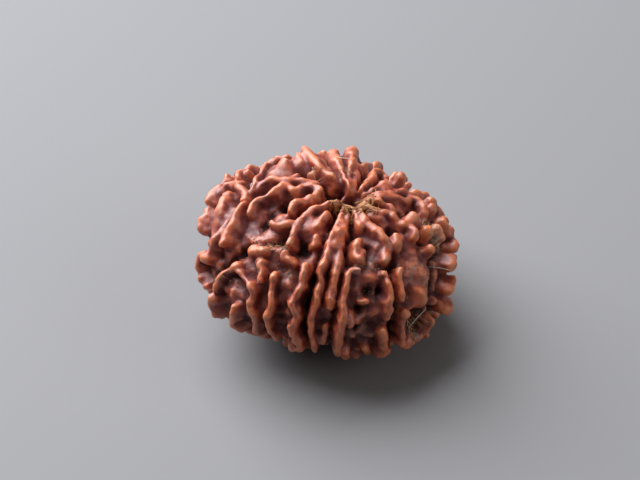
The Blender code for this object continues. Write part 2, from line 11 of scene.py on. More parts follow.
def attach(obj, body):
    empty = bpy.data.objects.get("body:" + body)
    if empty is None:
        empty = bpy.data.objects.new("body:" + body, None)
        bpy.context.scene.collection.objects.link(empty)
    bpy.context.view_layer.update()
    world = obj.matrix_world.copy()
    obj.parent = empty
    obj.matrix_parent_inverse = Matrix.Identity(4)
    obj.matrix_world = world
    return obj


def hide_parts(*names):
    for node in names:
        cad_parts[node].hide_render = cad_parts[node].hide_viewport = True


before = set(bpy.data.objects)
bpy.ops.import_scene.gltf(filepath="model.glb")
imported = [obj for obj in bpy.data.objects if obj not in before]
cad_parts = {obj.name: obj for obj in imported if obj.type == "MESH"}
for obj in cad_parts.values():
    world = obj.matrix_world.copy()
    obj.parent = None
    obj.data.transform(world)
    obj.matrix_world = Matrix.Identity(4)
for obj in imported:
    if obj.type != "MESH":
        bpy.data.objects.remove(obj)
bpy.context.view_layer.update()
MM = 0.001

# The view: the seed is looked down on from 40 degrees above the surface that it lies on, through
# a long lens about a quarter of a metre away. Its middle is a little right of the picture's
# middle and a little below it.
VIEW_ELEVATION = math.radians(40)
VIEW_DISTANCE = 260 * MM
PIXELS_PER_MM = 9.6
PICTURE_WIDTH = 640
SENSOR_WIDTH = 36
REST_DEPTH = 7.85 * MM
SEED_MIDDLE = Vector((0.79 * MM, 0.014 * MM, REST_DEPTH))
PIXELS_RIGHT_OF_MIDDLE = 15
PIXELS_BELOW_MIDDLE = 13

view_up = Vector((0, math.sin(VIEW_ELEVATION), math.cos(VIEW_ELEVATION)))
view_back = Vector((0, -math.cos(VIEW_ELEVATION), math.sin(VIEW_ELEVATION)))
aim = SEED_MIDDLE - Vector((PIXELS_RIGHT_OF_MIDDLE / PIXELS_PER_MM * MM, 0, 0))
aim += view_up * (PIXELS_BELOW_MIDDLE / PIXELS_PER_MM * MM)
lens = bpy.data.cameras.new("view")
lens.sensor_width = SENSOR_WIDTH
lens.lens = SENSOR_WIDTH * PIXELS_PER_MM * VIEW_DISTANCE / MM / PICTURE_WIDTH
lens.clip_start = 0.005
lens.clip_end = 10
camera = bpy.data.objects.new("view", lens)
bpy.context.scene.collection.objects.link(camera)
camera.location = aim + view_back * VIEW_DISTANCE
camera.rotation_euler = (math.pi / 2 - VIEW_ELEVATION, 0, 0)
bpy.context.scene.camera = camera

# The studio: a plain pale floor, a wide soft lamp high behind the seed on its left, which throws
# the shadow forwards, a weak one on the right, and an even surround.
FLOOR_SIZE = 3.0
FLOOR_COLOUR = (0.22, 0.223, 0.235, 1)
SURROUND_COLOUR = (1.0, 0.96, 0.93, 1)
SURROUND_STRENGTH = 0.15
LAMPS = [
    ("window_lamp", (-0.19, 0.19, 0.28), 0.45, 4.6, (0.98, 0.98, 1.0)),
    ("right_lamp", (0.30, -0.10, 0.16), 0.20, 0.25, (1.0, 0.93, 0.86)),
]

bpy.ops.object.select_all(action="DESELECT")
bpy.ops.mesh.primitive_plane_add(size=FLOOR_SIZE)
floor = bpy.context.object
floor.name = "floor"
floor_paint = bpy.data.materials.new("floor_paint")
floor_paint.use_nodes = True
floor_shader = floor_paint.node_tree.nodes["Principled BSDF"]
floor_shader.inputs["Base Color"].default_value = FLOOR_COLOUR
floor_shader.inputs["Roughness"].default_value = 0.75
floor.data.materials.append(floor_paint)

for lamp_name, place, size, power, colour in LAMPS:
    lamp = bpy.data.lights.new(lamp_name, "AREA")
    lamp.size = size
    lamp.energy = power
    lamp.color = colour
    holder = bpy.data.objects.new(lamp_name, lamp)
    bpy.context.scene.collection.objects.link(holder)
    holder.location = place
    holder.rotation_euler = (SEED_MIDDLE - Vector(place)).to_track_quat("-Z", "Y").to_euler()

surround = bpy.data.worlds.new("surround")
surround.use_nodes = True
surround_light = surround.node_tree.nodes["Background"]
surround_light.inputs["Color"].default_value = SURROUND_COLOUR
surround_light.inputs["Strength"].default_value = SURROUND_STRENGTH
bpy.context.scene.world = surround
bpy.context.scene.view_settings.view_transform = "Standard"

# The stone: the woody kernel case of the fruit, grown in one piece, round and squat. Clefts part it
# from pole to pole into twelve faces, and blunt ridges and pegs stand on every face, with pits
# between them. It lies loose on its lowest ridges.

# A place on the stone is a longitude and a latitude in degrees: longitude 0 is the front, at -Y, and
# it grows towards +X. Heights are measured from the level that the ridges' crests reach, which is
# round from above and flattened from pole to pole.
EQUATOR_RADIUS = 13.35 * MM
POLE_RADIUS = 8.5 * MM
UPPER_DISH_DEPTH = 0.85 * MM
LOWER_DISH_DEPTH = 1.3 * MM
POLE_DISH_REACH = 0.42
# The equator's centre lies beside the axis of the poles, because one side grew fuller. Each of the
# two is moved by half of this.
SIDE_GROWTH = 1.6 * MM
LEAN = math.radians(6)
# Where the whole stone grew fuller or flatter: longitude, latitude, spread in degrees, rise.
SWELLS = [
    (130, 46, 17, -0.75 * MM),
    (158, 46, 13, -0.5 * MM),
    (47, -17, 21, 0.6 * MM),
    (-54, -11, 18, 0.7 * MM),
    (-110, 26, 24, 0.45 * MM),
    (-95, -66, 28, 1.3 * MM),
    (90, -62, 30, -0.3 * MM),
    (-20, -36, 13, -0.75 * MM),
    (41, -37, 10, -0.6 * MM),
]

# The floor between the ridges, and what is sunk into it or raised from it.
FLOOR_AT_EQUATOR = -1.1 * MM
FLOOR_NEAR_POLES = -1.05 * MM
# From this height on the round globe up, the floor rises from the one level to the other.
FLOOR_CHANGE_STARTS = 0.64
FLOOR_CHANGE_REACH = 0.26
FLOOR_ROUGHNESS = 0.35 * MM
FLOOR_LUMPS = 9
CLEFT_DEPTH = 1.0 * MM
CLEFT_HALF_WIDTH = 0.5 * MM
CLEFT_STEP = 0.3 * MM
STALK_PIT_DEPTH = 2.4 * MM
STALK_PIT_HALF_WIDTH = 0.6 * MM
# A low collar stands round the pit where the stalk's strand left the stone, and round the lower one.
COLLAR_RISE = 0.6 * MM
COLLAR_RADIUS = 1.1 * MM
COLLAR_HALF_WIDTH = 0.4 * MM

# Ridges and pegs stand on a root inside the floor, and half widths are scaled at crown and foot.
RIDGE_ROOT = -3.0 * MM
RIDGE_CROWN = 0.68
RIDGE_FOOT = 1.75
CROWN_POINTS = 7
RIDGE_STEP = 0.3 * MM
# The blunt end of a ridge starts at this share of its half width.
RIDGE_BLUNTNESS = 0.1
# Along a ridge its width, its crest and its line wander.
RIDGE_SWELL = 0.36
CREST_WAVE = 0.45 * MM
RIDGE_WOBBLE = 0.16 * MM
WAVE_LENGTH = 2.0 * MM
KNOB_LENGTH = 0.85 * MM
KNOB_SHARE = 0.6
# The waves are read from places in the noise that are far apart.
WAVE_SHIFTS = (0, 40, 80)
KNOB_SHIFT = 20
# Ridges thin out where they crowd together round a pole.
POLE_TAPER = 0.48
POLE_TAPER_REACH = 0.4
PEG_SUBDIVISIONS = 3
PEG_SIDES = 16
# A peg's shaft meets its round top just inside it.
PEG_SHAFT = 0.99

# The fine skin: a dense one, with small lumps that fade on the crests.
VOXEL = 0.12 * MM
SMOOTH_FACTOR = 0.5
SMOOTH_ROUNDS = 12
MOST_TRIANGLES = 190000
BLANK_SUBDIVISIONS = 7
FINE_LUMP = 0.7 * MM
FINE_RISE = 0.13 * MM
FINER_LUMP = 0.3 * MM
FINER_RISE = 0.08 * MM
CREST_ROUGHNESS = 0.3
ROUGH_BELOW = -0.3 * MM
ROUGH_FADE = 1.2 * MM
# A point's neighbourhood is the mesh smoothed this many times: a narrow one for the sharp edges and
# a wide one for whole ridges and hollows.
EDGE_ROUNDS = 8
BULGE_ROUNDS = 90
# Painted light and shade: the upper side's hollows are coloured as if they were less deep, so lighter
# as if lit, and those of the lower side as if they were deeper, so darker as if shaded. The change is
# full from this reach above and below the middle.
PAINTED_LIGHT_ON_TOP = 0.35 * MM
LIFT_MIDDLE = 11 * MM
LIFT_REACH = 4 * MM
# Where flesh and dust stayed on: longitude, latitude, reach in millimetres and amount.
DUSTY_PLACES = [
    (-60, 83, 0.7, 0.7),
    (0, 82, 0.8, 0.7),
    (60, 82, 0.9, 0.7),
    (-172, 70, 0.8, 0.6),
    (89, 46, 0.9, 1.2),
    (83, 41, 1.0, 1.3),
    (78, 35, 1.0, 1.3),
    (75, 28, 0.9, 1.1),
    (-42, 48, 1.0, 1.0),
    (-63, 40, 0.7, 0.7),
    (-51, 46, 0.8, 0.9),
    (-53, 11, 1.0, 0.7),
    (-62, 47, 0.9, 0.7),
    (-50, 42, 0.9, 0.7),
    (-30, 36, 1.1, 0.9),
    (-47, 30, 0.8, 0.7),
    (-60, 8, 0.8, 0.6),
    (10, 47, 1.0, 0.75),
    (18, 47.5, 1.0, 0.75),
    (27, 46, 0.9, 0.75),
    (50, 38, 1.5, 0.6),
    (56, 26, 1.8, 0.55),
    (44, -13, 1.2, 0.6),
    (20, 60, 0.9, 0.5),
    (16, 33, 1.0, 0.4),
    (-90, 60, 1.2, 0.35),
]

# Each cleft as the places that it passes, from the upper pole to the lower one.
CLEFTS = [
    [(8, 80), (5, 70), (2.5, 58), (1, 45), (1.3, 31), (2.3, 19), (3, 8), (2.6, -2), (3, -25), (6, -80)],
    [(40, 80), (38, 70), (40, 60), (37, 50), (33, 40), (31.5, 30), (31.5, 18), (32, 0), (34, -40), (38, -80)],
    [(72, 80), (73, 72), (71, 64), (71, 55), (68, 47), (67, 32), (62, 22), (58, 5), (60, -30), (68, -80)],
    [(98, 80), (104, 73), (108, 66), (109, 60), (112, 55), (104, 46), (94, 34), (86, 18), (84, -10),
     (92, -80)],
    [(128, 80), (134, 73), (141, 66), (141, 55), (130, 35), (120, 5), (119, -40), (122, -80)],
    [(152, 80), (157, 72), (158, 62), (150, 42), (147, 0), (149, -40), (152, -80)],
    [(-176, 80), (-172, 72), (-175, 62), (-179, 42), (178, 0), (180, -40), (-177, -80)],
    [(-160, 80), (-161, 70), (-164, 60), (-160, 42), (-155, 0), (-156, -40), (-158, -80)],
    [(-138, 80), (-131, 71), (-130, 60), (-138, 48), (-131, 20), (-129, -20), (-134, -80)],
    [(-116, 81), (-118, 75), (-118, 70), (-112, 65), (-106, 61), (-102, 56), (-97, 52), (-94, 46),
     (-98, 34), (-104, 6), (-106, -30), (-110, -80)],
    [(-70, 81), (-70, 75), (-64, 67), (-57, 61), (-51, 55), (-48, 50), (-55, 42), (-61, 32), (-63, 20),
     (-64, 4), (-65, -25), (-68, -80)],
    [(-32, 80), (-27, 72), (-21, 62), (-17, 54), (-15.5, 44), (-13.5, 32), (-13, 22), (-11.5, 8),
     (-10, -6), (-11, -25), (-20, -80)],
]

# Ridges that show from the front and from above: half width and crest height in millimetres,
# then the places that the crest passes. A third number at a place scales the half width there.
# They are grouped by the face that they stand on.
RIDGES = [
    # front left face, upper part
    (0.62, 0.15, [(-58, 84.5), (-60, 77), (-58, 69), (-54, 63.5), (-49, 59.5), (-44.5, 55), (-41, 51),
                  (-39, 48)]),
    (0.75, -0.15, [(-44, 77), (-42, 72), (-37, 67), (-33, 64)]),
    (0.60, 0.05, [(-28, 62, 0.8), (-26.5, 57.5, 1.1), (-26, 54)]),
    # front left face, lower part
    (0.55, 0.15, [(-38, 46), (-36.5, 43), (-32, 42.5), (-27, 41.5)]),
    (0.50, 0.20, [(-22.3, 45.5), (-21, 42), (-20, 38), (-18.8, 32), (-18.8, 27), (-18.7, 23), (-18.2, 20),
                  (-16.8, 16), (-15.8, 12), (-15.8, 8), (-16, 3.5)]),
    (0.56, 0.15, [(-16, 4), (-15.3, -1), (-13.8, -6), (-12, -12), (-13, -22), (-15, -34)]),
    (0.52, 0.15, [(-35.5, 34), (-33, 28), (-31.4, 22), (-28.8, 17), (-28, 12), (-28.2, 6), (-27, 1),
                  (-26, -6), (-24, -18)]),
    (0.56, 0.10, [(-54, 22, 0.7), (-48.5, 20.5, 0.7), (-44, 20, 0.75), (-40.5, 18.5, 0.9), (-38, 13.5),
                  (-37.5, 7.5), (-36.5, 3), (-34.3, -1), (-34, -8), (-33.5, -20)]),
    (0.85, 0.05, [(-59, 34.5), (-54, 36), (-50, 38.5), (-47, 41)]),
    (0.52, 0.00, [(-46, 36), (-44, 32), (-41, 30), (-40.2, 26.5), (-37.4, 24)]),
    (0.66, 0.40, [(-44, 2), (-44.5, -8), (-46, -16), (-47, -24)]),
    # front face, two long ridges with a shallow channel between them
    (0.50, 0.15, [(-19, 84.5), (-17.5, 75), (-15.5, 68.5), (-14.3, 60), (-12.5, 53.5), (-12, 49), (-12, 45),
                  (-11, 40.5, 0.85), (-10, 36, 0.6)]),
    (0.62, 0.00, [(-7, 81), (-6.5, 73), (-5.5, 64), (-4.5, 56), (-3.7, 49), (-3.2, 41), (-2.7, 32),
                  (-2.4, 25), (-1.8, 20)]),
    (0.46, -0.05, [(-10, 40), (-9.4, 33), (-8.7, 25), (-8.5, 17.5), (-8.4, 10), (-7.8, 3.5), (-6.6, -4),
                   (-6, -11), (-6.5, -24)]),
    (0.45, -0.55, [(-1, 9), (-1.5, -2), (-2.5, -14)]),
    # front right face, upper part
    (0.68, 0.10, [(22, 84.5), (25, 75), (30, 68), (33, 63), (34.6, 58), (33, 53), (29.5, 49.3),
                  (26.5, 47.8)]),
    (0.60, 0.10, [(11, 84.5), (13.5, 76), (15.5, 71), (16.5, 68)]),
    (0.58, 0.20, [(14, 63), (10, 61), (7.8, 57), (7.8, 53), (11, 51.4), (15, 52.5)]),
    # front right face, lower part
    (0.56, 0.20, [(12, 44.5), (8, 45.6), (5.2, 44), (3.9, 39), (3.6, 32), (4.4, 25), (5.1, 18), (5.4, 10),
                  (5.3, 0), (5.6, -10), (5.6, -24)]),
    (0.55, -0.05, [(8, 21), (8.8, 15), (9, 8)]),
    (0.50, 0.10, [(24.5, 40.3), (28, 41), (28.3, 35, 0.8), (28.5, 28, 0.8), (27.6, 22), (27.3, 16), (27, 9)]),
    (0.60, 0.10, [(25, 4), (25.5, -3), (26, -10), (27.5, -19), (29, -28)]),
    (0.42, -0.25, [(10.5, 26.5), (13.5, 26.3), (17.5, 25)]),
    (0.55, -0.10, [(17, -13), (20, -24)]),
    # right face
    (0.62, 0.10, [(50, 84.5), (58, 75), (66, 70), (64.5, 65.5), (65, 62), (66, 58.5), (65.3, 55), (62, 52),
                  (59.5, 49)]),
    (0.80, -0.15, [(46, 80), (52, 73), (56, 70)]),
    (0.66, 0.20, [(46.3, 60.5), (45, 57), (43, 53), (41.5, 50)]),
    (0.46, 0.00, [(39, 41), (37, 38.5), (35.5, 34), (35.2, 27), (35.2, 20)]),
    (0.50, -0.15, [(35.5, 14), (36.3, 9), (35.2, 4), (35.2, -3), (36, -10)]),
    (0.55, 0.25, [(53, -5), (52, -12), (48, -18), (42, -20), (37, -17), (35, -11)]),
    (0.70, 0.45, [(92, 20), (84, 17)]),
    (0.85, 0.60, [(81, 18.5), (75, 17), (71, 18)]),
    (0.85, 0.60, [(76, 5.5), (70, 4.5), (64, 5.5)]),
    (0.80, 0.65, [(70, -6), (65, -7), (60, -5.5)]),
    # right shoulder
    (0.62, 0.15, [(91, 84.5), (98, 74.5), (102, 67.5), (101.5, 62), (104, 58.5), (107.5, 55), (104.5, 51.5),
                  (98, 49.5), (92, 47.5)]),
    (0.58, 0.05, [(82, 84.5), (85, 76), (82.5, 71.5), (78, 67)]),
    (0.60, -0.15, [(88, 42), (84, 36), (80, 31)]),
    (0.60, 0.30, [(98, 27), (91, 20), (86, 14)]),
    (0.62, 0.15, [(120, 84.5), (124, 76.5), (127, 73), (133, 66.5), (137, 61)]),
    (0.60, 0.20, [(103, 81), (107, 73), (111.5, 67), (115.5, 63.5), (117, 60), (116, 57), (113.5, 53),
                  (115, 46)]),
    # back right
    (0.62, 0.35, [(141, 84.5), (145, 76), (148, 70), (150, 64), (149, 58.5), (143, 57), (138, 58)]),
    # back
    (0.45, 0.25, [(-179, 86.5), (179, 74), (176.5, 67)]),
    (0.65, 0.10, [(166, 86), (168, 72), (172, 66), (168, 60)]),
    (0.75, 0.60, [(178, 71, 0.6), (176, 63), (174.5, 56)]),
    (0.95, 1.05, [(175, 60, 0.6), (174, 52), (173, 44)]),
    (0.70, 0.15, [(166, 58), (162, 52), (160, 43)]),
    (0.60, 0.55, [(-168, 86.5, 0.6), (-168, 72, 1.1), (-170, 61, 1.6), (-173, 51, 1.8), (-175, 45, 1.6)]),
    # back left
    (0.66, 0.35, [(-150, 81), (-153, 71), (-157, 62), (-160, 54)]),
    (0.75, 1.15, [(-140, 80), (-142, 69), (-149, 57), (-156, 45)]),
    (0.55, 0.05, [(-138, 76), (-134, 71), (-132, 65)]),
    (0.80, 0.40, [(-131, 42), (-139, 42), (-147, 46)]),
    # left shoulder
    (0.55, 0.20, [(-101, 47), (-106, 48.5), (-109, 51), (-109.5, 55), (-111, 59), (-115, 65), (-121, 71),
                  (-125, 74)]),
    (0.42, 0.10, [(-110, 57), (-115, 60), (-120, 62), (-126, 63)]),
    (0.48, 0.30, [(-99, 45), (-105, 46), (-111, 45.5), (-118, 44.5), (-125, 43), (-131, 42)]),
    (0.62, 0.25, [(-102, 77), (-110, 75.5), (-114, 73.5), (-113, 70), (-106, 67), (-100, 65), (-104, 62),
                  (-102, 59), (-96, 55.5, 0.9), (-92, 51.5, 0.8), (-88, 48, 0.75), (-83, 45, 0.75),
                  (-78, 43.5, 0.7)]),
    (0.72, 0.20, [(-112, 73.5), (-100, 75, 1.3), (-88, 73.5, 1.2), (-80, 69.5), (-75, 65.5, 0.8),
                  (-70, 62.5, 0.8), (-65, 61, 0.8)]),
    (0.62, 0.10, [(-66, 51), (-61, 52), (-57, 54.5), (-56, 58), (-59, 60.5)]),
    # left side
    (0.75, 0.35, [(-91, 43.5, 0.5), (-86, 40.5, 0.55), (-81, 37.5, 0.7), (-77, 34), (-74, 30), (-71.5, 26.5),
                  (-68.5, 23.5)]),
    (0.42, 0.10, [(-84, 32), (-80, 28.5), (-77.5, 24.5), (-76, 21)]),
    (0.95, 0.10, [(-108, 30), (-98, 29), (-91, 26), (-86, 21)]),
    (0.65, 0.15, [(-113, 33), (-105, 38), (-98, 42), (-92, 40)]),
    (0.62, 0.65, [(-122, 24), (-116, 19.5), (-110, 17.5), (-104, 15)]),
    (0.65, 0.40, [(-134, 30), (-127, 30), (-121, 31), (-115, 33)]),
    (0.75, 0.30, [(-104, 15), (-98, 11), (-92, 4)]),
    (0.55, 0.20, [(-80, 30), (-76, 24), (-74.3, 17), (-73, 12), (-71, 8)]),
    (0.66, 0.35, [(-71, 9), (-76, 6), (-79, -1), (-76, -9), (-70, -12), (-66, -9)]),
    (0.62, 0.10, [(-53, 25), (-55.5, 20), (-57.5, 14.5), (-58.6, 9), (-58.6, 3), (-58.6, -4)]),
    (0.85, 0.80, [(-57, -4), (-58, -10), (-56, -16), (-54, -21)]),
    (0.70, -0.55, [(-52, 8), (-48, 1)]),
]

# Pegs that stand alone: longitude, latitude, half width and height in millimetres.
PEGS = [
    (13.7, 55.5, 0.42, 0.00),
    (-19.5, 20.3, 0.52, 0.25),
    (-16.4, 3.5, 0.50, 0.25),
    (-13.4, -8, 0.55, 0.30),
    (-36.8, 5, 0.55, 0.20),
    (27.4, 17, 0.58, 0.15),
    (36.8, 9.5, 0.52, 0.15),
    (29.5, -24, 0.60, 0.30),
    (71, 58.5, 0.65, 0.20),
    (76, 57.5, 0.78, 0.55),
    (74, 46.5, 0.74, 0.50),
    (64.5, 39, 0.60, 0.45),
    (101, 42.5, 0.58, 0.50),
    (111, 37, 0.62, 0.55),
    (128, 57, 0.62, 1.35),
    (57.5, 3, 0.45, -0.30),
    (-47, 33, 0.60, -0.45),
    (-97, 9, 0.70, 0.50),
]

# Soft rises and pits of the floor: longitude, latitude, reach and rise in millimetres.
MOUNDS = [
    (-47, 67, 1.5, 0.9),
    (-32.5, 52.5, 1.0, -1.5),
    (-24, 66, 0.7, 0.4),
    (-12, 73, 0.7, 1.0),
    (-11, 66, 0.9, 1.35),
    (-9.5, 58, 0.9, 1.3),
    (-8.5, 50, 0.75, 0.9),
    (22, 76, 1.4, 0.45),
    (17.5, 58, 0.55, -0.91),
    (30, 58, 0.8, 0.45),
    (17.5, 41, 1.1, 0.5),
    (17.5, 33, 0.6, -1.17),
    (25, 32, 0.5, -1.17),
    (13, 20.5, 0.5, -1.04),
    (12, 3, 0.5, -0.65),
    (21, 5, 0.6, -0.52),
    (13, 11, 0.45, 0.5),
    (53, 63, 0.6, -1.17),
    (54, 55, 1.1, 0.5),
    (56, 71, 0.9, 0.4),
    (50, 36, 1.5, 0.5),
    (54, 26, 1.3, 0.6),
    (47, 17, 1.0, 1.25),
    (50, 8, 0.8, 0.6),
    (46, -5, 1.25, -1.9),
    (79, 63, 0.8, -1.6),
    (90, 57, 0.7, -0.91),
    (92, 65, 1.0, 0.3),
    (72, 31, 0.6, -1.04),
    (120, 71, 1.2, 1.1),
    (143, 66, 1.2, 1.5),
    (124, 63, 1.0, 0.6),
    (172, 72, 1.0, 0.9),
    (170, 51, 1.3, 1.1),
    (-149, 65, 1.4, 1.5),
    (-155, 55, 1.5, 1.4),
    (-138, 56, 1.5, 1.3),
    (-132, 49, 2.1, 0.85),
    (-128, 55, 1.4, 1.0),
    (-118, 51, 0.8, 0.5),
    (-113, 37, 0.6, -0.91),
    (-87, 61, 0.9, -1.43),
    (-80, 53, 0.7, -0.78),
    (-71, 48.5, 0.8, -1.30),
    (-122, 81, 0.85, -1.9),
    (-78, 76.5, 0.6, -1.04),
    (-93, 68, 0.6, -1.2),
    (-66, 55.5, 0.9, 0.75),
    (-52, 43.5, 1.3, 0.7),
    (-62, 31, 0.8, -0.78),
    (-66, 0, 0.6, -1.04),
    (-88, 24, 1.6, 0.7),
    (-99, 33, 1.3, 0.4),
    (-34, 38, 0.8, -0.39),
]

# The faces of the hidden back, between the longitudes of the clefts beside them.
BACK_FACES = [(88, 118), (120, 148), (149, 178), (-179, -156), (-154, -131), (-129, -106)]
BACK_TOP_LATITUDE = 38
# The faces under the equator, all the way round.
LOWER_FACES = [
    (3, 33), (35, 58), (61, 84), (86, 118), (120, 148), (149, 179),
    (-180, -156), (-155, -130), (-129, -105), (-103, -67), (-65, -39), (-37, -11),
]
LOWER_TOP_LATITUDE = -18
LOWER_END_LATITUDE = -80
# On those faces broken ridges run beside the clefts. Degrees from a cleft to its ridge and how far the
# ridge strays, the lengths of the ridges and of the gaps between them in degrees, their half widths
# and crest heights in millimetres, and how far from the face's top the first one starts.
EDGE_MARGIN = 4.5
EDGE_STRAY = (-1.2, 2.6)
EDGE_LENGTHS = (16, 34)
EDGE_GAPS = (3, 5)
EDGE_HALF_WIDTHS = (0.5, 0.66)
EDGE_CRESTS = (0.0, 0.35)
EDGE_STARTS = (-3, 3)
EDGE_PLACE_STEP = 6
# Towards a pole more degrees make the same distance, up to this many times as many.
MOST_SPREAD = 1.6
# Between them stand pegs and short ridges.
INNER_MARGIN = 4
INNER_STARTS = (2, 8)
INNER_END_LATITUDE = -66
INNER_GAPS = (6, 11)
INNER_LENGTHS = (5, 9)
INNER_HALF_WIDTHS = (0.42, 0.6)
INNER_CRESTS = (-0.4, 0.15)
PEG_SHARE = 0.5
PEG_HALF_WIDTHS = (0.45, 0.7)
PEG_HEIGHTS = (-0.4, 0.3)
RELIEF_SEED = 12


def unit(longitude, latitude):
    """The direction of a place on a round globe, which smooth paths are drawn on."""
    around, up = math.radians(longitude), math.radians(latitude)
    return Vector((math.cos(up) * math.sin(around), -math.cos(up) * math.cos(around), math.sin(up)))


def place_of(direction):
    """The longitude and latitude that a direction from the middle points at."""
    return (
        math.degrees(math.atan2(direction.x, -direction.y)),
        math.degrees(math.asin(max(-1, min(1, direction.z / direction.length)))),
    )


def crest_level(longitude, latitude):
    """The point at the level of the crests, and the direction that points out of the stone there."""
    around, up = math.radians(longitude), math.radians(latitude)
    reach = math.cos(up)
    point = Vector((
        EQUATOR_RADIUS * reach * math.sin(around) - SIDE_GROWTH * (reach * reach - 0.5),
        -EQUATOR_RADIUS * reach * math.cos(around),
        POLE_RADIUS * math.sin(up),
    ))
    dished = math.exp(-(reach / POLE_DISH_REACH) ** 2)
    point.z -= UPPER_DISH_DEPTH * dished if up > 0 else -LOWER_DISH_DEPTH * dished
    outward = Vector((
        reach * math.sin(around) / EQUATOR_RADIUS,
        -reach * math.cos(around) / EQUATOR_RADIUS,
        math.sin(up) / POLE_RADIUS,
    )).normalized()
    here = unit(longitude, latitude)
    for swell_longitude, swell_latitude, spread, rise in SWELLS:
        apart = here.angle(unit(swell_longitude, swell_latitude))
        point += outward * rise * math.exp(-(apart / math.radians(spread)) ** 2)
    return point, outward


def smooth_path(places, step):
    """Places a step apart on a smooth curve through the given ones, drawn on the round globe.

    Each place found has a third number, the width scale there, which is 1 where none is given.
    """
    knots = [unit(*place[:2]) for place in places]
    knots = [knots[0] * 2 - knots[1], *knots, knots[-1] * 2 - knots[-2]]
    scales = [place[2] if len(place) > 2 else 1 for place in places]
    path = []
    for k in range(len(places) - 1):
        before, start, end, after = knots[k:k + 4]
        count = max(2, math.ceil((end - start).length * EQUATOR_RADIUS / step))
        for i in range(count):
            t = i / count
            direction = (
                start * 2
                + (end - before) * t
                + (before * 2 - start * 5 + end * 4 - after) * t * t
                + (start * 3 - before - end * 3 + after) * t ** 3
            )
            path.append((*place_of(direction), scales[k] + (scales[k + 1] - scales[k]) * t))
    path.append((*places[-1][:2], scales[-1]))
    return path


def ridge_section(half_width, top):
    """One section of a ridge: a round crown on two walls that spread towards the root."""
    crown = half_width * RIDGE_CROWN
    section = []
    for k in range(CROWN_POINTS):
        turn = math.pi * k / (CROWN_POINTS - 1)
        section.append((crown * math.cos(turn), top - crown * (1 - math.sin(turn))))
    section.append((-half_width * RIDGE_FOOT, RIDGE_ROOT))
    section.append((half_width * RIDGE_FOOT, RIDGE_ROOT))
    return section


def sweep(mesh, stations):
    """A closed body through sections, each given as its points in space."""
    rings = [[mesh.verts.new(point) for point in station] for station in stations]
    for ring, following in zip(rings, rings[1:]):
        for k in range(len(ring)):
            beside = (k + 1) % len(ring)
            mesh.faces.new((ring[k], following[k], following[beside], ring[beside]))
    mesh.faces.new(rings[0])
    mesh.faces.new(reversed(rings[-1]))


def frames_along(places, step):
    """Points a step apart along a path, each with its outward and sideways directions."""
    points = [crest_level(*place[:2]) for place in smooth_path(places, step)]
    frames = []
    for i, (point, outward) in enumerate(points):
        along = points[min(i + 1, len(points) - 1)][0] - points[max(i - 1, 0)][0]
        frames.append((point, outward, along.cross(outward).normalized()))
    return frames


def wander(point):
    """Three numbers around 0 that change from point to point, in long waves with knobs on them."""
    return [
        noise.noise(point / WAVE_LENGTH + Vector((shift, 0, 0)))
        + KNOB_SHARE * noise.noise(point / KNOB_LENGTH + Vector((shift, KNOB_SHIFT, 0)))
        for shift in WAVE_SHIFTS
    ]


def add_ridge(mesh, half_width, crest, places):
    """A wall with a round crown and rounded ends along a smooth path, rooted under the floor."""
    frames = frames_along(places, RIDGE_STEP)
    scales = [place[2] for place in smooth_path(places, RIDGE_STEP)]
    lengths = [0.0]
    for here, there in zip(frames, frames[1:]):
        lengths.append(lengths[-1] + (there[0] - here[0]).length)
    stations = []
    for (point, outward, side), length, scale in zip(frames, lengths, scales):
        to_end = min(length, lengths[-1] - length) / half_width
        ending = math.sqrt(1 - max(0, 1 - to_end - RIDGE_BLUNTNESS) ** 2)
        wave, swell, wobble = wander(point)
        poleward = min(1, math.hypot(point.x, point.y) / (EQUATOR_RADIUS * POLE_TAPER_REACH))
        width = half_width * scale * ending * (1 + RIDGE_SWELL * swell)
        width *= POLE_TAPER + (1 - POLE_TAPER) * poleward
        top = crest + CREST_WAVE * wave - (1 - ending) * half_width
        stations.append([
            point + side * (across + RIDGE_WOBBLE * wobble) + outward * up
            for across, up in ridge_section(width, top)
        ])
    sweep(mesh, stations)


def add_peg(mesh, longitude, latitude, half_width, height):
    """A blunt peg with a round top, rooted under the floor."""
    point, outward = crest_level(longitude, latitude)
    turned = outward.to_track_quat("Z", "Y").to_matrix().to_4x4()
    top = Matrix.Translation(point + outward * (height - half_width)) @ turned
    tall = height - half_width - RIDGE_ROOT
    shaft = Matrix.Translation(point + outward * (RIDGE_ROOT + tall / 2)) @ turned
    bmesh.ops.create_icosphere(mesh, subdivisions=PEG_SUBDIVISIONS, radius=half_width, matrix=top)
    bmesh.ops.create_cone(
        mesh, cap_ends=True, segments=PEG_SIDES, matrix=shaft, depth=tall,
        radius1=half_width * RIDGE_FOOT, radius2=half_width * PEG_SHAFT,
    )


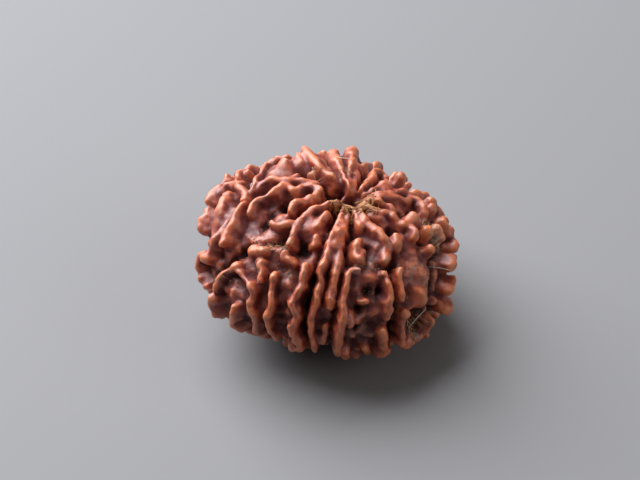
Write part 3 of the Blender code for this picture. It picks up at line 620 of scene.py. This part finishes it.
def shape_core(mesh):
    """The body under the ridges: a round blank pressed to shape, cleft and pitted."""
    cleft_points = [
        crest_level(*place[:2])[0] for cleft in CLEFTS for place in smooth_path(cleft, CLEFT_STEP)
    ]
    clefts = kdtree.KDTree(len(cleft_points))
    for i, point in enumerate(cleft_points):
        clefts.insert(point, i)
    clefts.balance()
    mounds = [(crest_level(*mound[:2])[0], mound[2] * MM, mound[3] * MM) for mound in MOUNDS]
    for vertex in mesh.verts:
        direction = vertex.co.normalized()
        point, outward = crest_level(*place_of(direction))
        poleward = max(0, min(1, (abs(direction.z) - FLOOR_CHANGE_STARTS) / FLOOR_CHANGE_REACH))
        height = FLOOR_AT_EQUATOR + (FLOOR_NEAR_POLES - FLOOR_AT_EQUATOR) * poleward
        height += FLOOR_ROUGHNESS * noise.noise(direction * FLOOR_LUMPS)
        for middle, reach, rise in mounds:
            height += rise * math.exp(-((point - middle).length / reach) ** 2)
        nearest = clefts.find(point)[2]
        height -= CLEFT_DEPTH * math.exp(-(nearest / CLEFT_HALF_WIDTH) ** 2)
        from_axis = math.hypot(direction.x, direction.y) * EQUATOR_RADIUS
        height -= STALK_PIT_DEPTH * math.exp(-(from_axis / STALK_PIT_HALF_WIDTH) ** 2)
        height += COLLAR_RISE * math.exp(-((from_axis - COLLAR_RADIUS) / COLLAR_HALF_WIDTH) ** 2)
        vertex.co = point + outward * height


def face_relief(rng, west, east, top, end):
    """A face that follows the rule: broken ridges along its edges, shorter ones and pegs between."""
    ridges, pegs = [], []
    middle = (west + east) / 2
    for edge, inward in ((west, 1), (east, -1)):
        latitude = top + rng.uniform(*EDGE_STARTS)
        while latitude > end + EDGE_PLACE_STEP:
            stop = max(end, latitude - rng.uniform(*EDGE_LENGTHS))
            steps = max(2, round((latitude - stop) / EDGE_PLACE_STEP))
            places = []
            for i in range(steps + 1):
                at = latitude + (stop - latitude) * i / steps
                spread = min(MOST_SPREAD, 1 / math.cos(math.radians(at)))
                stray = inward * (EDGE_MARGIN + rng.uniform(*EDGE_STRAY)) * spread
                places.append((edge + stray, at))
            ridges.append((rng.uniform(*EDGE_HALF_WIDTHS), rng.uniform(*EDGE_CRESTS), places))
            latitude = stop - rng.uniform(*EDGE_GAPS)
    room = (east - west) / 2 - EDGE_MARGIN - INNER_MARGIN
    latitude = top - rng.uniform(*INNER_STARTS)
    while latitude > max(end, INNER_END_LATITUDE):
        across = rng.uniform(-room, room)
        if rng.random() < PEG_SHARE:
            half_width, height = rng.uniform(*PEG_HALF_WIDTHS), rng.uniform(*PEG_HEIGHTS)
            pegs.append((middle + across, latitude, half_width, height))
        else:
            lower = latitude - rng.uniform(*INNER_LENGTHS)
            places = [(middle + across, latitude), (middle - across * rng.uniform(0, 1), lower)]
            ridges.append((rng.uniform(*INNER_HALF_WIDTHS), rng.uniform(*INNER_CRESTS), places))
            latitude = lower
        latitude -= rng.uniform(*INNER_GAPS)
    return ridges, pegs


def all_relief():
    """The ridges and pegs of the whole stone: those listed, then those that follow the rule."""
    rng = random.Random(RELIEF_SEED)
    ridges, pegs = list(RIDGES), list(PEGS)
    faces = [(*face, BACK_TOP_LATITUDE, LOWER_TOP_LATITUDE) for face in BACK_FACES]
    faces += [(*face, LOWER_TOP_LATITUDE, LOWER_END_LATITUDE) for face in LOWER_FACES]
    for face in faces:
        more_ridges, more_pegs = face_relief(rng, *face)
        ridges += more_ridges
        pegs += more_pegs
    return ridges, pegs


def points_and_normals(mesh):
    """The mesh's points and the directions that they face, as rows of three numbers."""
    found = []
    for holders, name in ((mesh.vertices, "co"), (mesh.vertex_normals, "vector")):
        flat = np.empty(len(holders) * 3, np.float32)
        holders.foreach_get(name, flat)
        found.append(flat.reshape(-1, 3).astype(np.float64))
    return found


def heights_of(points):
    """The height of each point over the level of the crests, from the nearest place on it."""
    heights = []
    for point in map(Vector, points):
        place, outward = places_on_level[level.find(point)[1]]
        heights.append((point - place).dot(outward))
    return np.array(heights)


def bulge_of(mesh, rounds):
    """How far each point stands out of its neighbourhood, which is wider with more rounds."""
    points, normals = points_and_normals(mesh)
    ends = np.empty(len(mesh.edges) * 2, np.int32)
    mesh.edges.foreach_get("vertices", ends)
    start, end = ends.reshape(-1, 2).T
    count = np.bincount(start, minlength=len(points)) + np.bincount(end, minlength=len(points))
    smooth = points.copy()
    for _ in range(rounds):
        for axis in range(3):
            total = np.bincount(start, smooth[end, axis], len(points))
            total += np.bincount(end, smooth[start, axis], len(points))
            smooth[:, axis] = (smooth[:, axis] + total / count) / 2
    return ((points - smooth) * normals).sum(axis=1)


def keep_on_points(mesh, name, values):
    """Stores a number at each point of the mesh, for its material to read."""
    kept = mesh.attributes.new(name, "FLOAT", "POINT")
    kept.data.foreach_set("value", np.asarray(values, np.float32))


def dust_of(points):
    """How much dry flesh and dust is left at each point: most of it in some pits and clefts."""
    found = np.zeros(len(points))
    for longitude, latitude, reach, amount in DUSTY_PLACES:
        middle = np.array(lay_down @ crest_level(longitude, latitude)[0]) / MM
        apart = np.linalg.norm(points / MM - middle, axis=1)
        found = np.maximum(found, amount * np.exp(-(apart / reach) ** 2))
    return found


lay_down = Matrix.Translation((0, 0, REST_DEPTH)) @ Matrix.Rotation(LEAN, 4, "Y")
bpy.ops.object.select_all(action="DESELECT")
bpy.ops.mesh.primitive_ico_sphere_add(subdivisions=BLANK_SUBDIVISIONS, radius=1)
stone = bpy.context.object
stone.name = "stone"
carving = bmesh.new()
carving.from_mesh(stone.data)
places_on_level = [crest_level(*place_of(vertex.co)) for vertex in carving.verts]
places_on_level = [(lay_down @ point, lay_down.to_3x3() @ outward) for point, outward in places_on_level]
shape_core(carving)
stone_ridges, stone_pegs = all_relief()
for half_width, crest, places in stone_ridges:
    add_ridge(carving, half_width * MM, crest * MM, places)
for longitude, latitude, half_width, height in stone_pegs:
    add_peg(carving, longitude, latitude, half_width * MM, height * MM)
carving.transform(lay_down)
carving.to_mesh(stone.data)
carving.free()

level = kdtree.KDTree(len(places_on_level))
for i, (place, _) in enumerate(places_on_level):
    level.insert(place, i)
level.balance()

fuse = stone.modifiers.new("fuse", "REMESH")
fuse.mode = "VOXEL"
fuse.voxel_size = VOXEL
fuse.use_smooth_shade = True
soften = stone.modifiers.new("soften", "SMOOTH")
soften.factor = SMOOTH_FACTOR
soften.iterations = SMOOTH_ROUNDS
bpy.ops.object.modifier_apply(modifier="fuse")
bpy.ops.object.modifier_apply(modifier="soften")

skin = stone.data
points, normals = points_and_normals(skin)
rough = np.clip((ROUGH_BELOW - heights_of(points)) / ROUGH_FADE, CREST_ROUGHNESS, 1)
fine = np.array([noise.noise(point / FINE_LUMP) for point in map(Vector, points)])
finer = np.array([noise.noise(point / FINER_LUMP) for point in map(Vector, points)])
grown = FINE_RISE * fine + FINER_RISE * finer * rough
points += normals * grown[:, None]
points[:, 2] = np.maximum(points[:, 2], 0)
skin.vertices.foreach_set("co", points.astype(np.float32).ravel())
skin.update()

thin = stone.modifiers.new("thin", "DECIMATE")
thin.ratio = MOST_TRIANGLES / (2 * len(skin.polygons))
bpy.ops.object.modifier_apply(modifier="thin")
points = points_and_normals(skin)[0]
# Painted light and shade: the height that the colours read is raised on the upper side and lowered on the
# lower side, so the hollows are painted lighter on top and darker underneath.
painted_top_light = PAINTED_LIGHT_ON_TOP * np.clip((points[:, 2] - LIFT_MIDDLE) / LIFT_REACH, -1, 1)
keep_on_points(skin, "height", (heights_of(points) + painted_top_light) / MM)
keep_on_points(skin, "dust", dust_of(points))
keep_on_points(skin, "edge", bulge_of(skin, EDGE_ROUNDS) / MM)
keep_on_points(skin, "bulge", bulge_of(skin, BULGE_ROUNDS) / MM)
middle = (points.min(axis=0) + points.max(axis=0)) / 2
over_origin = Matrix.Translation((-middle[0], -middle[1], 0))
skin.transform(over_origin)

# The stone's colours. They go by numbers kept at its points, in millimetres: the bulge is small in
# hollows and large on ridges, the edge is large on sharp crests only, and the height is over the
# crests' level. Each pair of numbers is the range of one of them that a ramp or a change runs over.
BULGES = (-0.7, 0.6)
# The wood's own tones, dark plum low down and orange on the ridges, with painted shade: the hollows are made
# darker still, as the shade in them would be.
TONES_WITH_PAINTED_SHADE = [
    (0.0, (0.048, 0.016, 0.014)),
    (0.30, (0.105, 0.024, 0.020)),
    (0.48, (0.19, 0.034, 0.025)),
    (0.62, (0.32, 0.053, 0.025)),
    (0.78, (0.46, 0.098, 0.031)),
    (1.0, (0.54, 0.158, 0.050)),
]
# Painted shade: the deeper a place lies under the crests, the darker it is made, as the shade in deep hollows
# and pits would be; in part this also stands for the dirt that gathers there.
HOLLOWS = (-2.1, -0.5)
PAINTED_HOLLOW_SHADES = [
    (0.0, (0.23, 0.21, 0.18)),
    (0.4, (0.48, 0.43, 0.41)),
    (0.65, (0.93, 0.90, 0.90)),
    (1.0, (1, 1, 1)),
]
PATCHES_PER_METRE = 420
PATCH_TINTS = [(0.38, (0.78, 0.68, 0.92)), (0.5, (1, 1, 1)), (0.62, (1.10, 1.06, 0.90))]
MOTTLES_PER_METRE = 2200
MOTTLE_TINTS = [(0.3, (0.60, 0.56, 0.54)), (0.7, (1.32, 1.28, 1.24))]
# Worn edges, partly a painted glow: the sharp crests are rubbed to a lighter orange, and the same colour
# paints on them the glow of light shining through the thin crests.
WORN_EDGES = (0.015, 0.09)
WORN_SHARE = 0.45
WORN_AND_GLOW_COLOUR = (0.55, 0.165, 0.055)
# Dry flesh and dust: a tan speckle that is denser where more is left, and thinner on the crests.
SPECKS_PER_METRE = 2600
DUST_AMOUNTS = (0.78, 1.12)
DUST_SHARE = 0.85
DUSTY_BULGES = (0.25, -0.35)
DUST_ON_CRESTS = 0.25
DUST_LUMPS_PER_METRE = 1500
DUST_TONES = [(0.35, (0.20, 0.13, 0.075)), (0.6, (0.60, 0.50, 0.38))]
# The wood is matt in the hollows. Handling gave the ridges a soft waxy shine.
GLOSS_BULGES = (-0.45, 0.3)
GLOSS_ROUGHNESS = (0.85, 0.5)
WAXED_BULGES = (-0.3, 0.15)
WAX_ON_RIDGES = 0.95
STONE_FINISH = {
    "Specular IOR Level": 0.2,
    "Coat Roughness": 0.46,
    "Coat IOR": 1.68,
    "Subsurface Weight": 0.45,
    "Subsurface Radius": (1.0, 0.22, 0.08),
    "Subsurface Scale": 0.45 * MM,
}
GRIT_PER_METRE = 3000
GRIT_STRENGTH = 0.6
GRIT_DEPTH = 0.15 * MM
# A mix node has several kinds of sockets. These are the places of those for colours.
MIX_ONE, MIX_OTHER, MIX_RESULT = 6, 7, 2


def new_material(name, roughness=0.5):
    """A material with the given roughness, its tree of nodes and its shader."""
    material = bpy.data.materials.new(name)
    material.use_nodes = True
    shader = material.node_tree.nodes["Principled BSDF"]
    shader.inputs["Roughness"].default_value = roughness
    return material, material.node_tree, shader


def add_ramp(tree, value, stops):
    """The colour that a number has on a ramp of stops, each a place from 0 to 1 and a colour."""
    ramp = tree.nodes.new("ShaderNodeValToRGB")
    colours = ramp.color_ramp.elements
    while len(colours) < len(stops):
        colours.new(0.5)
    for element, (place, colour) in zip(colours, stops):
        element.position = place
        element.color = (*colour, 1)
    tree.links.new(value, ramp.inputs["Fac"])
    return ramp.outputs["Color"]


def add_range(tree, value, old, new=(0, 1)):
    """A number carried over from one range to another, and held within it."""
    spread = tree.nodes.new("ShaderNodeMapRange")
    for socket, end in zip(("From Min", "From Max", "To Min", "To Max"), (*old, *new)):
        spread.inputs[socket].default_value = end
    tree.links.new(value, spread.inputs["Value"])
    return spread.outputs["Result"]


def add_mix(tree, share, one, other, blend="MIX"):
    """Two colours mixed by the other's share. Each of the three is a socket or a plain value."""
    mix = tree.nodes.new("ShaderNodeMix")
    mix.data_type = "RGBA"
    mix.blend_type = blend
    for place, value in (("Factor", share), (MIX_ONE, one), (MIX_OTHER, other)):
        socket = mix.inputs[place]
        if isinstance(value, bpy.types.NodeSocket):
            tree.links.new(value, socket)
        elif isinstance(value, tuple):
            socket.default_value = (*value, 1)
        else:
            socket.default_value = value
    return mix.outputs[MIX_RESULT]


def add_math(tree, operation, one, other):
    """The sum or the product of two numbers."""
    reckoned = tree.nodes.new("ShaderNodeMath")
    reckoned.operation = operation
    tree.links.new(one, reckoned.inputs[0])
    tree.links.new(other, reckoned.inputs[1])
    return reckoned.outputs[0]


def read_number(tree, name):
    """The number that a mesh holds at its points under a name."""
    reader = tree.nodes.new("ShaderNodeAttribute")
    reader.attribute_name = name
    return reader.outputs["Fac"]


def add_noise(tree, scale, detail=3, roughness=0.5):
    """Noise in the piece's own space, with so many lumps to the metre."""
    place = tree.nodes.new("ShaderNodeTexCoord")
    pattern = tree.nodes.new("ShaderNodeTexNoise")
    pattern.inputs["Scale"].default_value = scale
    pattern.inputs["Detail"].default_value = detail
    pattern.inputs["Roughness"].default_value = roughness
    tree.links.new(place.outputs["Object"], pattern.inputs["Vector"])
    return pattern.outputs["Fac"]


stone_paint, tree, shader = new_material("stone_paint")
bulge = read_number(tree, "bulge")
height = read_number(tree, "height")
edge = read_number(tree, "edge")

# The ramp on the bulge gives the wood its tones and also paints shade into the hollows.
colour = add_ramp(tree, add_range(tree, bulge, BULGES), TONES_WITH_PAINTED_SHADE)
# Painted shade that deepens with the depth of the hollow.
painted_hollow_shade = add_ramp(tree, add_range(tree, height, HOLLOWS), PAINTED_HOLLOW_SHADES)
patches = add_ramp(tree, add_noise(tree, PATCHES_PER_METRE, 2), PATCH_TINTS)
mottle = add_ramp(tree, add_noise(tree, MOTTLES_PER_METRE, 6, 0.7), MOTTLE_TINTS)
for tint in (painted_hollow_shade, patches, mottle):
    colour = add_mix(tree, 1, colour, tint, "MULTIPLY")
# Wear on the sharp crests, with a painted glow of light through them.
worn_and_glow = add_range(tree, edge, WORN_EDGES, (0, WORN_SHARE))
colour = add_mix(tree, worn_and_glow, colour, WORN_AND_GLOW_COLOUR)

specks = add_noise(tree, SPECKS_PER_METRE, 5, 0.75)
dusty = add_math(tree, "ADD", read_number(tree, "dust"), specks)
cover = add_range(tree, dusty, DUST_AMOUNTS, (0, DUST_SHARE))
stays = add_range(tree, bulge, DUSTY_BULGES, (DUST_ON_CRESTS, 1))
cover = add_math(tree, "MULTIPLY", cover, stays)
dust_lumps = add_noise(tree, DUST_LUMPS_PER_METRE, 3, 0.6)
colour = add_mix(tree, cover, colour, add_ramp(tree, dust_lumps, DUST_TONES))
tree.links.new(colour, shader.inputs["Base Color"])

gloss = add_range(tree, bulge, GLOSS_BULGES, GLOSS_ROUGHNESS)
tree.links.new(gloss, shader.inputs["Roughness"])
waxed = add_range(tree, bulge, WAXED_BULGES, (0, WAX_ON_RIDGES))
tree.links.new(waxed, shader.inputs["Coat Weight"])
for socket, value in STONE_FINISH.items():
    shader.inputs[socket].default_value = value
grit = tree.nodes.new("ShaderNodeBump")
grit.inputs["Strength"].default_value = GRIT_STRENGTH
grit.inputs["Distance"].default_value = GRIT_DEPTH
tree.links.new(add_noise(tree, GRIT_PER_METRE, 6, 0.65), grit.inputs["Height"])
tree.links.new(grit.outputs["Normal"], shader.inputs["Normal"])
skin.materials.append(stone_paint)

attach(stone, "root")
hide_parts("rudraksha_seed")

# The fibres: dried strands of the fruit's flesh that stayed on when the stone was cleaned. Most lie
# in a frayed ring round the upper stalk pit, and others in the pits and clefts. Each grew from the
# wood and lies on it.
FIBRE_SEED = 5
FIBRE_SIDES = 2
FIBRE_STEP = 0.12 * MM
# How far a fibre's heading changes at each step, at random and steadily, in radians.
FIBRE_CRINKLE = 0.35
FIBRE_TURN = 0.12
FEWEST_STEPS = 4
LOOSE_ROUNDS = 3
# What share of them lies the other way round, and by what a tuft's numbers are multiplied.
REVERSED_SHARE = 0.3
LENGTH_SCALES = (0.5, 1.2)
LIFT_SCALES = (0.2, 1.5)
WIDTH_SCALES = (0.6, 1.2)
LIFT_AT_START = 0.2
WIDTH_AT_TIPS = 0.45
TIP_INSET = 0.6
MERGE_WITHIN = 0.001 * MM
# Rays towards the wood start this far over the level of the crests.
RAY_START = 3 * MM
FIBRE_LUMPS_PER_METRE = 1800
FIBRE_TONES = [
    (0.35, (0.18, 0.065, 0.028)),
    (0.5, (0.44, 0.19, 0.08)),
    (0.66, (0.68, 0.41, 0.21)),
]
# Each tuft: the longitude and latitude of its middle, how far it spreads, how many fibres it has,
# the heading that they lie along (0 is to growing longitudes, 90 is to the upper pole), how far
# they stray from it, their length and half thickness, and how much their ends stand up. Lengths
# are in millimetres.
TUFTS = [
    # round the upper pit
    (-60, 83.5, 0.4, 24, 0, 40, 0.8, 0.055, 0.08),
    (-20, 83, 0.4, 34, 5, 30, 1.1, 0.06, 0.10),
    (20, 83, 0.4, 34, 0, 30, 1.1, 0.06, 0.10),
    (48, 83, 0.4, 26, -50, 25, 1.3, 0.06, 0.06),
    (62, 81.5, 0.4, 26, -85, 16, 1.4, 0.06, 0.04),
    (92, 82.5, 0.4, 16, -90, 20, 1.1, 0.055, 0.04),
    (-80, 83, 0.4, 20, 0, 40, 0.8, 0.055, 0.06),
    (-50, 81, 0.35, 10, -60, 40, 0.5, 0.045, 0.02),
    (0, 78, 0.5, 12, -85, 25, 1.0, 0.045, 0.04),
    # behind the nose of the upper left face
    (-131, 69, 0.3, 14, 100, 90, 0.3, 0.045, 0.02),
    # the valley between the back petals
    (-172, 72, 0.5, 8, 80, 40, 1.0, 0.04, 0.04),
    # the pit low on the right
    (48, -9, 0.7, 22, 0, 90, 0.8, 0.04, 0.03),
    (43, -14, 0.6, 16, 60, 60, 0.8, 0.045, 0.03),
    # clefts of the front
    (-45, 48, 0.5, 10, 30, 90, 0.6, 0.04, 0.05),
    (-52, 43, 0.5, 12, 70, 90, 0.6, 0.04, 0.05),
    (-60, 9, 0.5, 10, 60, 90, 0.6, 0.04, 0.05),
    (-46, 31, 0.5, 8, 60, 90, 0.6, 0.04, 0.05),
    # the dusty band on the right
    (86, 43, 0.6, 14, -60, 30, 0.9, 0.04, 0.03),
    (78, 34, 0.6, 14, -60, 30, 0.9, 0.04, 0.03),
]


def wood_at(direction):
    """The place on the crests' level in a direction, the way outwards and the place on the wood."""
    point, outward = crest_level(*place_of(direction))
    point, outward = over_origin @ lay_down @ point, lay_down.to_3x3() @ outward
    return point, outward, wood.ray_cast(point + outward * RAY_START, -outward)[0]


def over_wood(directions, rounds, lift):
    """Points on the wood in the given directions, raised where the line spans a hollow.

    With more rounds the line is drawn tighter. The lift is added, and grows towards the end.
    """
    places = [wood_at(direction) for direction in directions]
    heights = [(hit - point).dot(outward) for point, outward, hit in places]
    last = len(heights) - 1
    for _ in range(rounds):
        for i in range(1, last):
            heights[i] = max(heights[i], (heights[i - 1] + heights[i + 1]) / 2)
    return [
        point + outward * (height + lift * (LIFT_AT_START + (1 - LIFT_AT_START) * (i / last) ** 2))
        for i, ((point, outward, _), height) in enumerate(zip(places, heights))
    ]


def fibre_directions(start, heading, turn, length):
    """Directions a step apart along a crinkled fibre that starts in one heading and slowly turns."""
    directions = [start]
    for _ in range(max(FEWEST_STEPS, round(length / FIBRE_STEP))):
        here = directions[-1]
        east = Vector((0, 0, 1)).cross(here).normalized()
        north = here.cross(east)
        way = east * math.cos(heading) + north * math.sin(heading)
        directions.append((here + way * FIBRE_STEP / EQUATOR_RADIUS).normalized())
        heading += turn + rng.gauss(0, FIBRE_CRINKLE)
    return directions


def add_strand(curve, points, half_width):
    """A line through the points that tapers from its half width to its two tips."""
    line = curve.splines.new("POLY")
    line.points.add(len(points) - 1)
    for i, (mark, point) in enumerate(zip(line.points, points)):
        along = (i + TIP_INSET) / (len(points) - 1 + 2 * TIP_INSET)
        mark.co = (*point, 1)
        mark.radius = half_width * (WIDTH_AT_TIPS + (1 - WIDTH_AT_TIPS) * math.sin(math.pi * along))


def make_strands(name, strands, paint):
    """A piece of many round strands, made solid."""
    curve = bpy.data.curves.new(name, "CURVE")
    curve.dimensions = "3D"
    curve.bevel_depth = 1
    curve.bevel_resolution = FIBRE_SIDES - 1
    curve.use_fill_caps = True
    for points, half_width in strands:
        add_strand(curve, points, half_width)
    piece = bpy.data.objects.new(name, curve)
    bpy.context.scene.collection.objects.link(piece)
    bpy.ops.object.select_all(action="DESELECT")
    bpy.context.view_layer.objects.active = piece
    piece.select_set(True)
    bpy.ops.object.convert(target="MESH")
    bpy.ops.object.mode_set(mode="EDIT")
    bpy.ops.mesh.select_all(action="SELECT")
    bpy.ops.mesh.remove_doubles(threshold=MERGE_WITHIN)
    bpy.ops.mesh.normals_make_consistent(inside=False)
    bpy.ops.object.mode_set(mode="OBJECT")
    piece.data.materials.append(paint)
    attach(piece, "root")


wood = BVHTree.FromPolygons(
    [vertex.co for vertex in skin.vertices], [tuple(face.vertices) for face in skin.polygons])
rng = random.Random(FIBRE_SEED)
fibres = []
for longitude, latitude, spread, count, heading, stray, length, half_width, end_lift in TUFTS:
    middle = unit(longitude, latitude)
    for _ in range(count):
        aside = Vector([rng.gauss(0, spread) for _ in range(3)]) * MM / EQUATOR_RADIUS
        way = math.radians(heading + rng.gauss(0, stray))
        way += math.pi if rng.random() < REVERSED_SHARE else 0
        path = fibre_directions((middle + aside).normalized(), way, rng.gauss(0, FIBRE_TURN),
                                length * MM * rng.uniform(*LENGTH_SCALES))
        points = over_wood(path, LOOSE_ROUNDS, end_lift * MM * rng.uniform(*LIFT_SCALES))
        fibres.append((points, half_width * MM * rng.uniform(*WIDTH_SCALES)))

fibre_paint, tree, shader = new_material("fibre_paint", 0.75)
fibre_lumps = add_noise(tree, FIBRE_LUMPS_PER_METRE, 3, 0.6)
tree.links.new(add_ramp(tree, fibre_lumps, FIBRE_TONES), shader.inputs["Base Color"])
make_strands("fibres", fibres, fibre_paint)

# The strands: a few long fibres of the same dried flesh, bleached pale. They are drawn tight over
# clefts and pits, and hold on to the ridges beside them.
STRAND_COLOUR = (0.72, 0.62, 0.50, 1)
STRAND_LIFT = 0.05 * MM
SPANNING_ROUNDS = 300
# Each strand: its half thickness in millimetres and the places that it passes.
STRANDS = [
    (0.045, [(-168, 63), (-173, 64.5), (-178, 65), (177, 65)]),
    (0.050, [(57, -3), (51, -5), (46, -9), (43, -14)]),
    (0.030, [(66, 27), (69, 21), (72, 14)]),
    (0.035, [(-119, 37), (-112, 41), (-103, 44.5)]),
]

strands = []
for half_width, places in STRANDS:
    path = [unit(*place[:2]) for place in smooth_path(places, FIBRE_STEP)]
    strands.append((over_wood(path, SPANNING_ROUNDS, STRAND_LIFT), half_width * MM))
strand_paint, tree, shader = new_material("strand_paint", 0.6)
shader.inputs["Base Color"].default_value = STRAND_COLOUR
make_strands("strands", strands, strand_paint)

# The crumbs: grains of dried flesh and dust, caught in the clefts and in the pits between the
# ridges. They are what brushing left behind, and they stick to the wood.
CRUMB_SEED = 9
CRUMBS_PER_PLACE = 34
CRUMB_SPREAD = 0.6
# Half the length of a crumb in millimetres, and its width and thickness as shares of its length.
CRUMB_SIZES = (0.03, 0.11)
CRUMB_WIDTHS = (0.5, 1)
CRUMB_THICKNESSES = (0.4, 0.9)
CRUMB_TURNS = (0, 6)
CRUMB_STANDS_OUT = 0.2
CRUMBS_BELOW = -0.35 * MM
CRUMB_LUMPS_PER_METRE = 2500
CRUMB_TONES = [
    (0.38, (0.08, 0.045, 0.028)),
    (0.52, (0.20, 0.13, 0.08)),
    (0.66, (0.42, 0.33, 0.23)),
]

rng = random.Random(CRUMB_SEED)
grains = bmesh.new()
for longitude, latitude, reach, amount in DUSTY_PLACES:
    middle = unit(longitude, latitude)
    for _ in range(round(CRUMBS_PER_PLACE * reach * amount)):
        aside = Vector([rng.gauss(0, CRUMB_SPREAD * reach) for _ in range(3)]) * MM / EQUATOR_RADIUS
        point, outward, hit = wood_at(middle + aside)
        size = rng.uniform(*CRUMB_SIZES) * MM
        turn = Matrix.Rotation(rng.uniform(*CRUMB_TURNS), 4, Vector((rng.gauss(0, 1), rng.gauss(0, 1), 1)))
        shape = Matrix.Diagonal(
            (size, size * rng.uniform(*CRUMB_WIDTHS), size * rng.uniform(*CRUMB_THICKNESSES), 1))
        if (hit - point).dot(outward) < CRUMBS_BELOW:
            place = Matrix.Translation(hit + outward * size * CRUMB_STANDS_OUT)
            bmesh.ops.create_icosphere(grains, subdivisions=1, radius=1, matrix=place @ turn @ shape)
crumb_mesh = bpy.data.meshes.new("crumbs")
grains.to_mesh(crumb_mesh)
grains.free()
crumbs = bpy.data.objects.new("crumbs", crumb_mesh)
bpy.context.scene.collection.objects.link(crumbs)
crumb_paint, tree, shader = new_material("crumb_paint", 0.9)
crumb_lumps = add_noise(tree, CRUMB_LUMPS_PER_METRE, 2)
tree.links.new(add_ramp(tree, crumb_lumps, CRUMB_TONES), shader.inputs["Base Color"])
crumb_mesh.materials.append(crumb_paint)
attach(crumbs, "root")
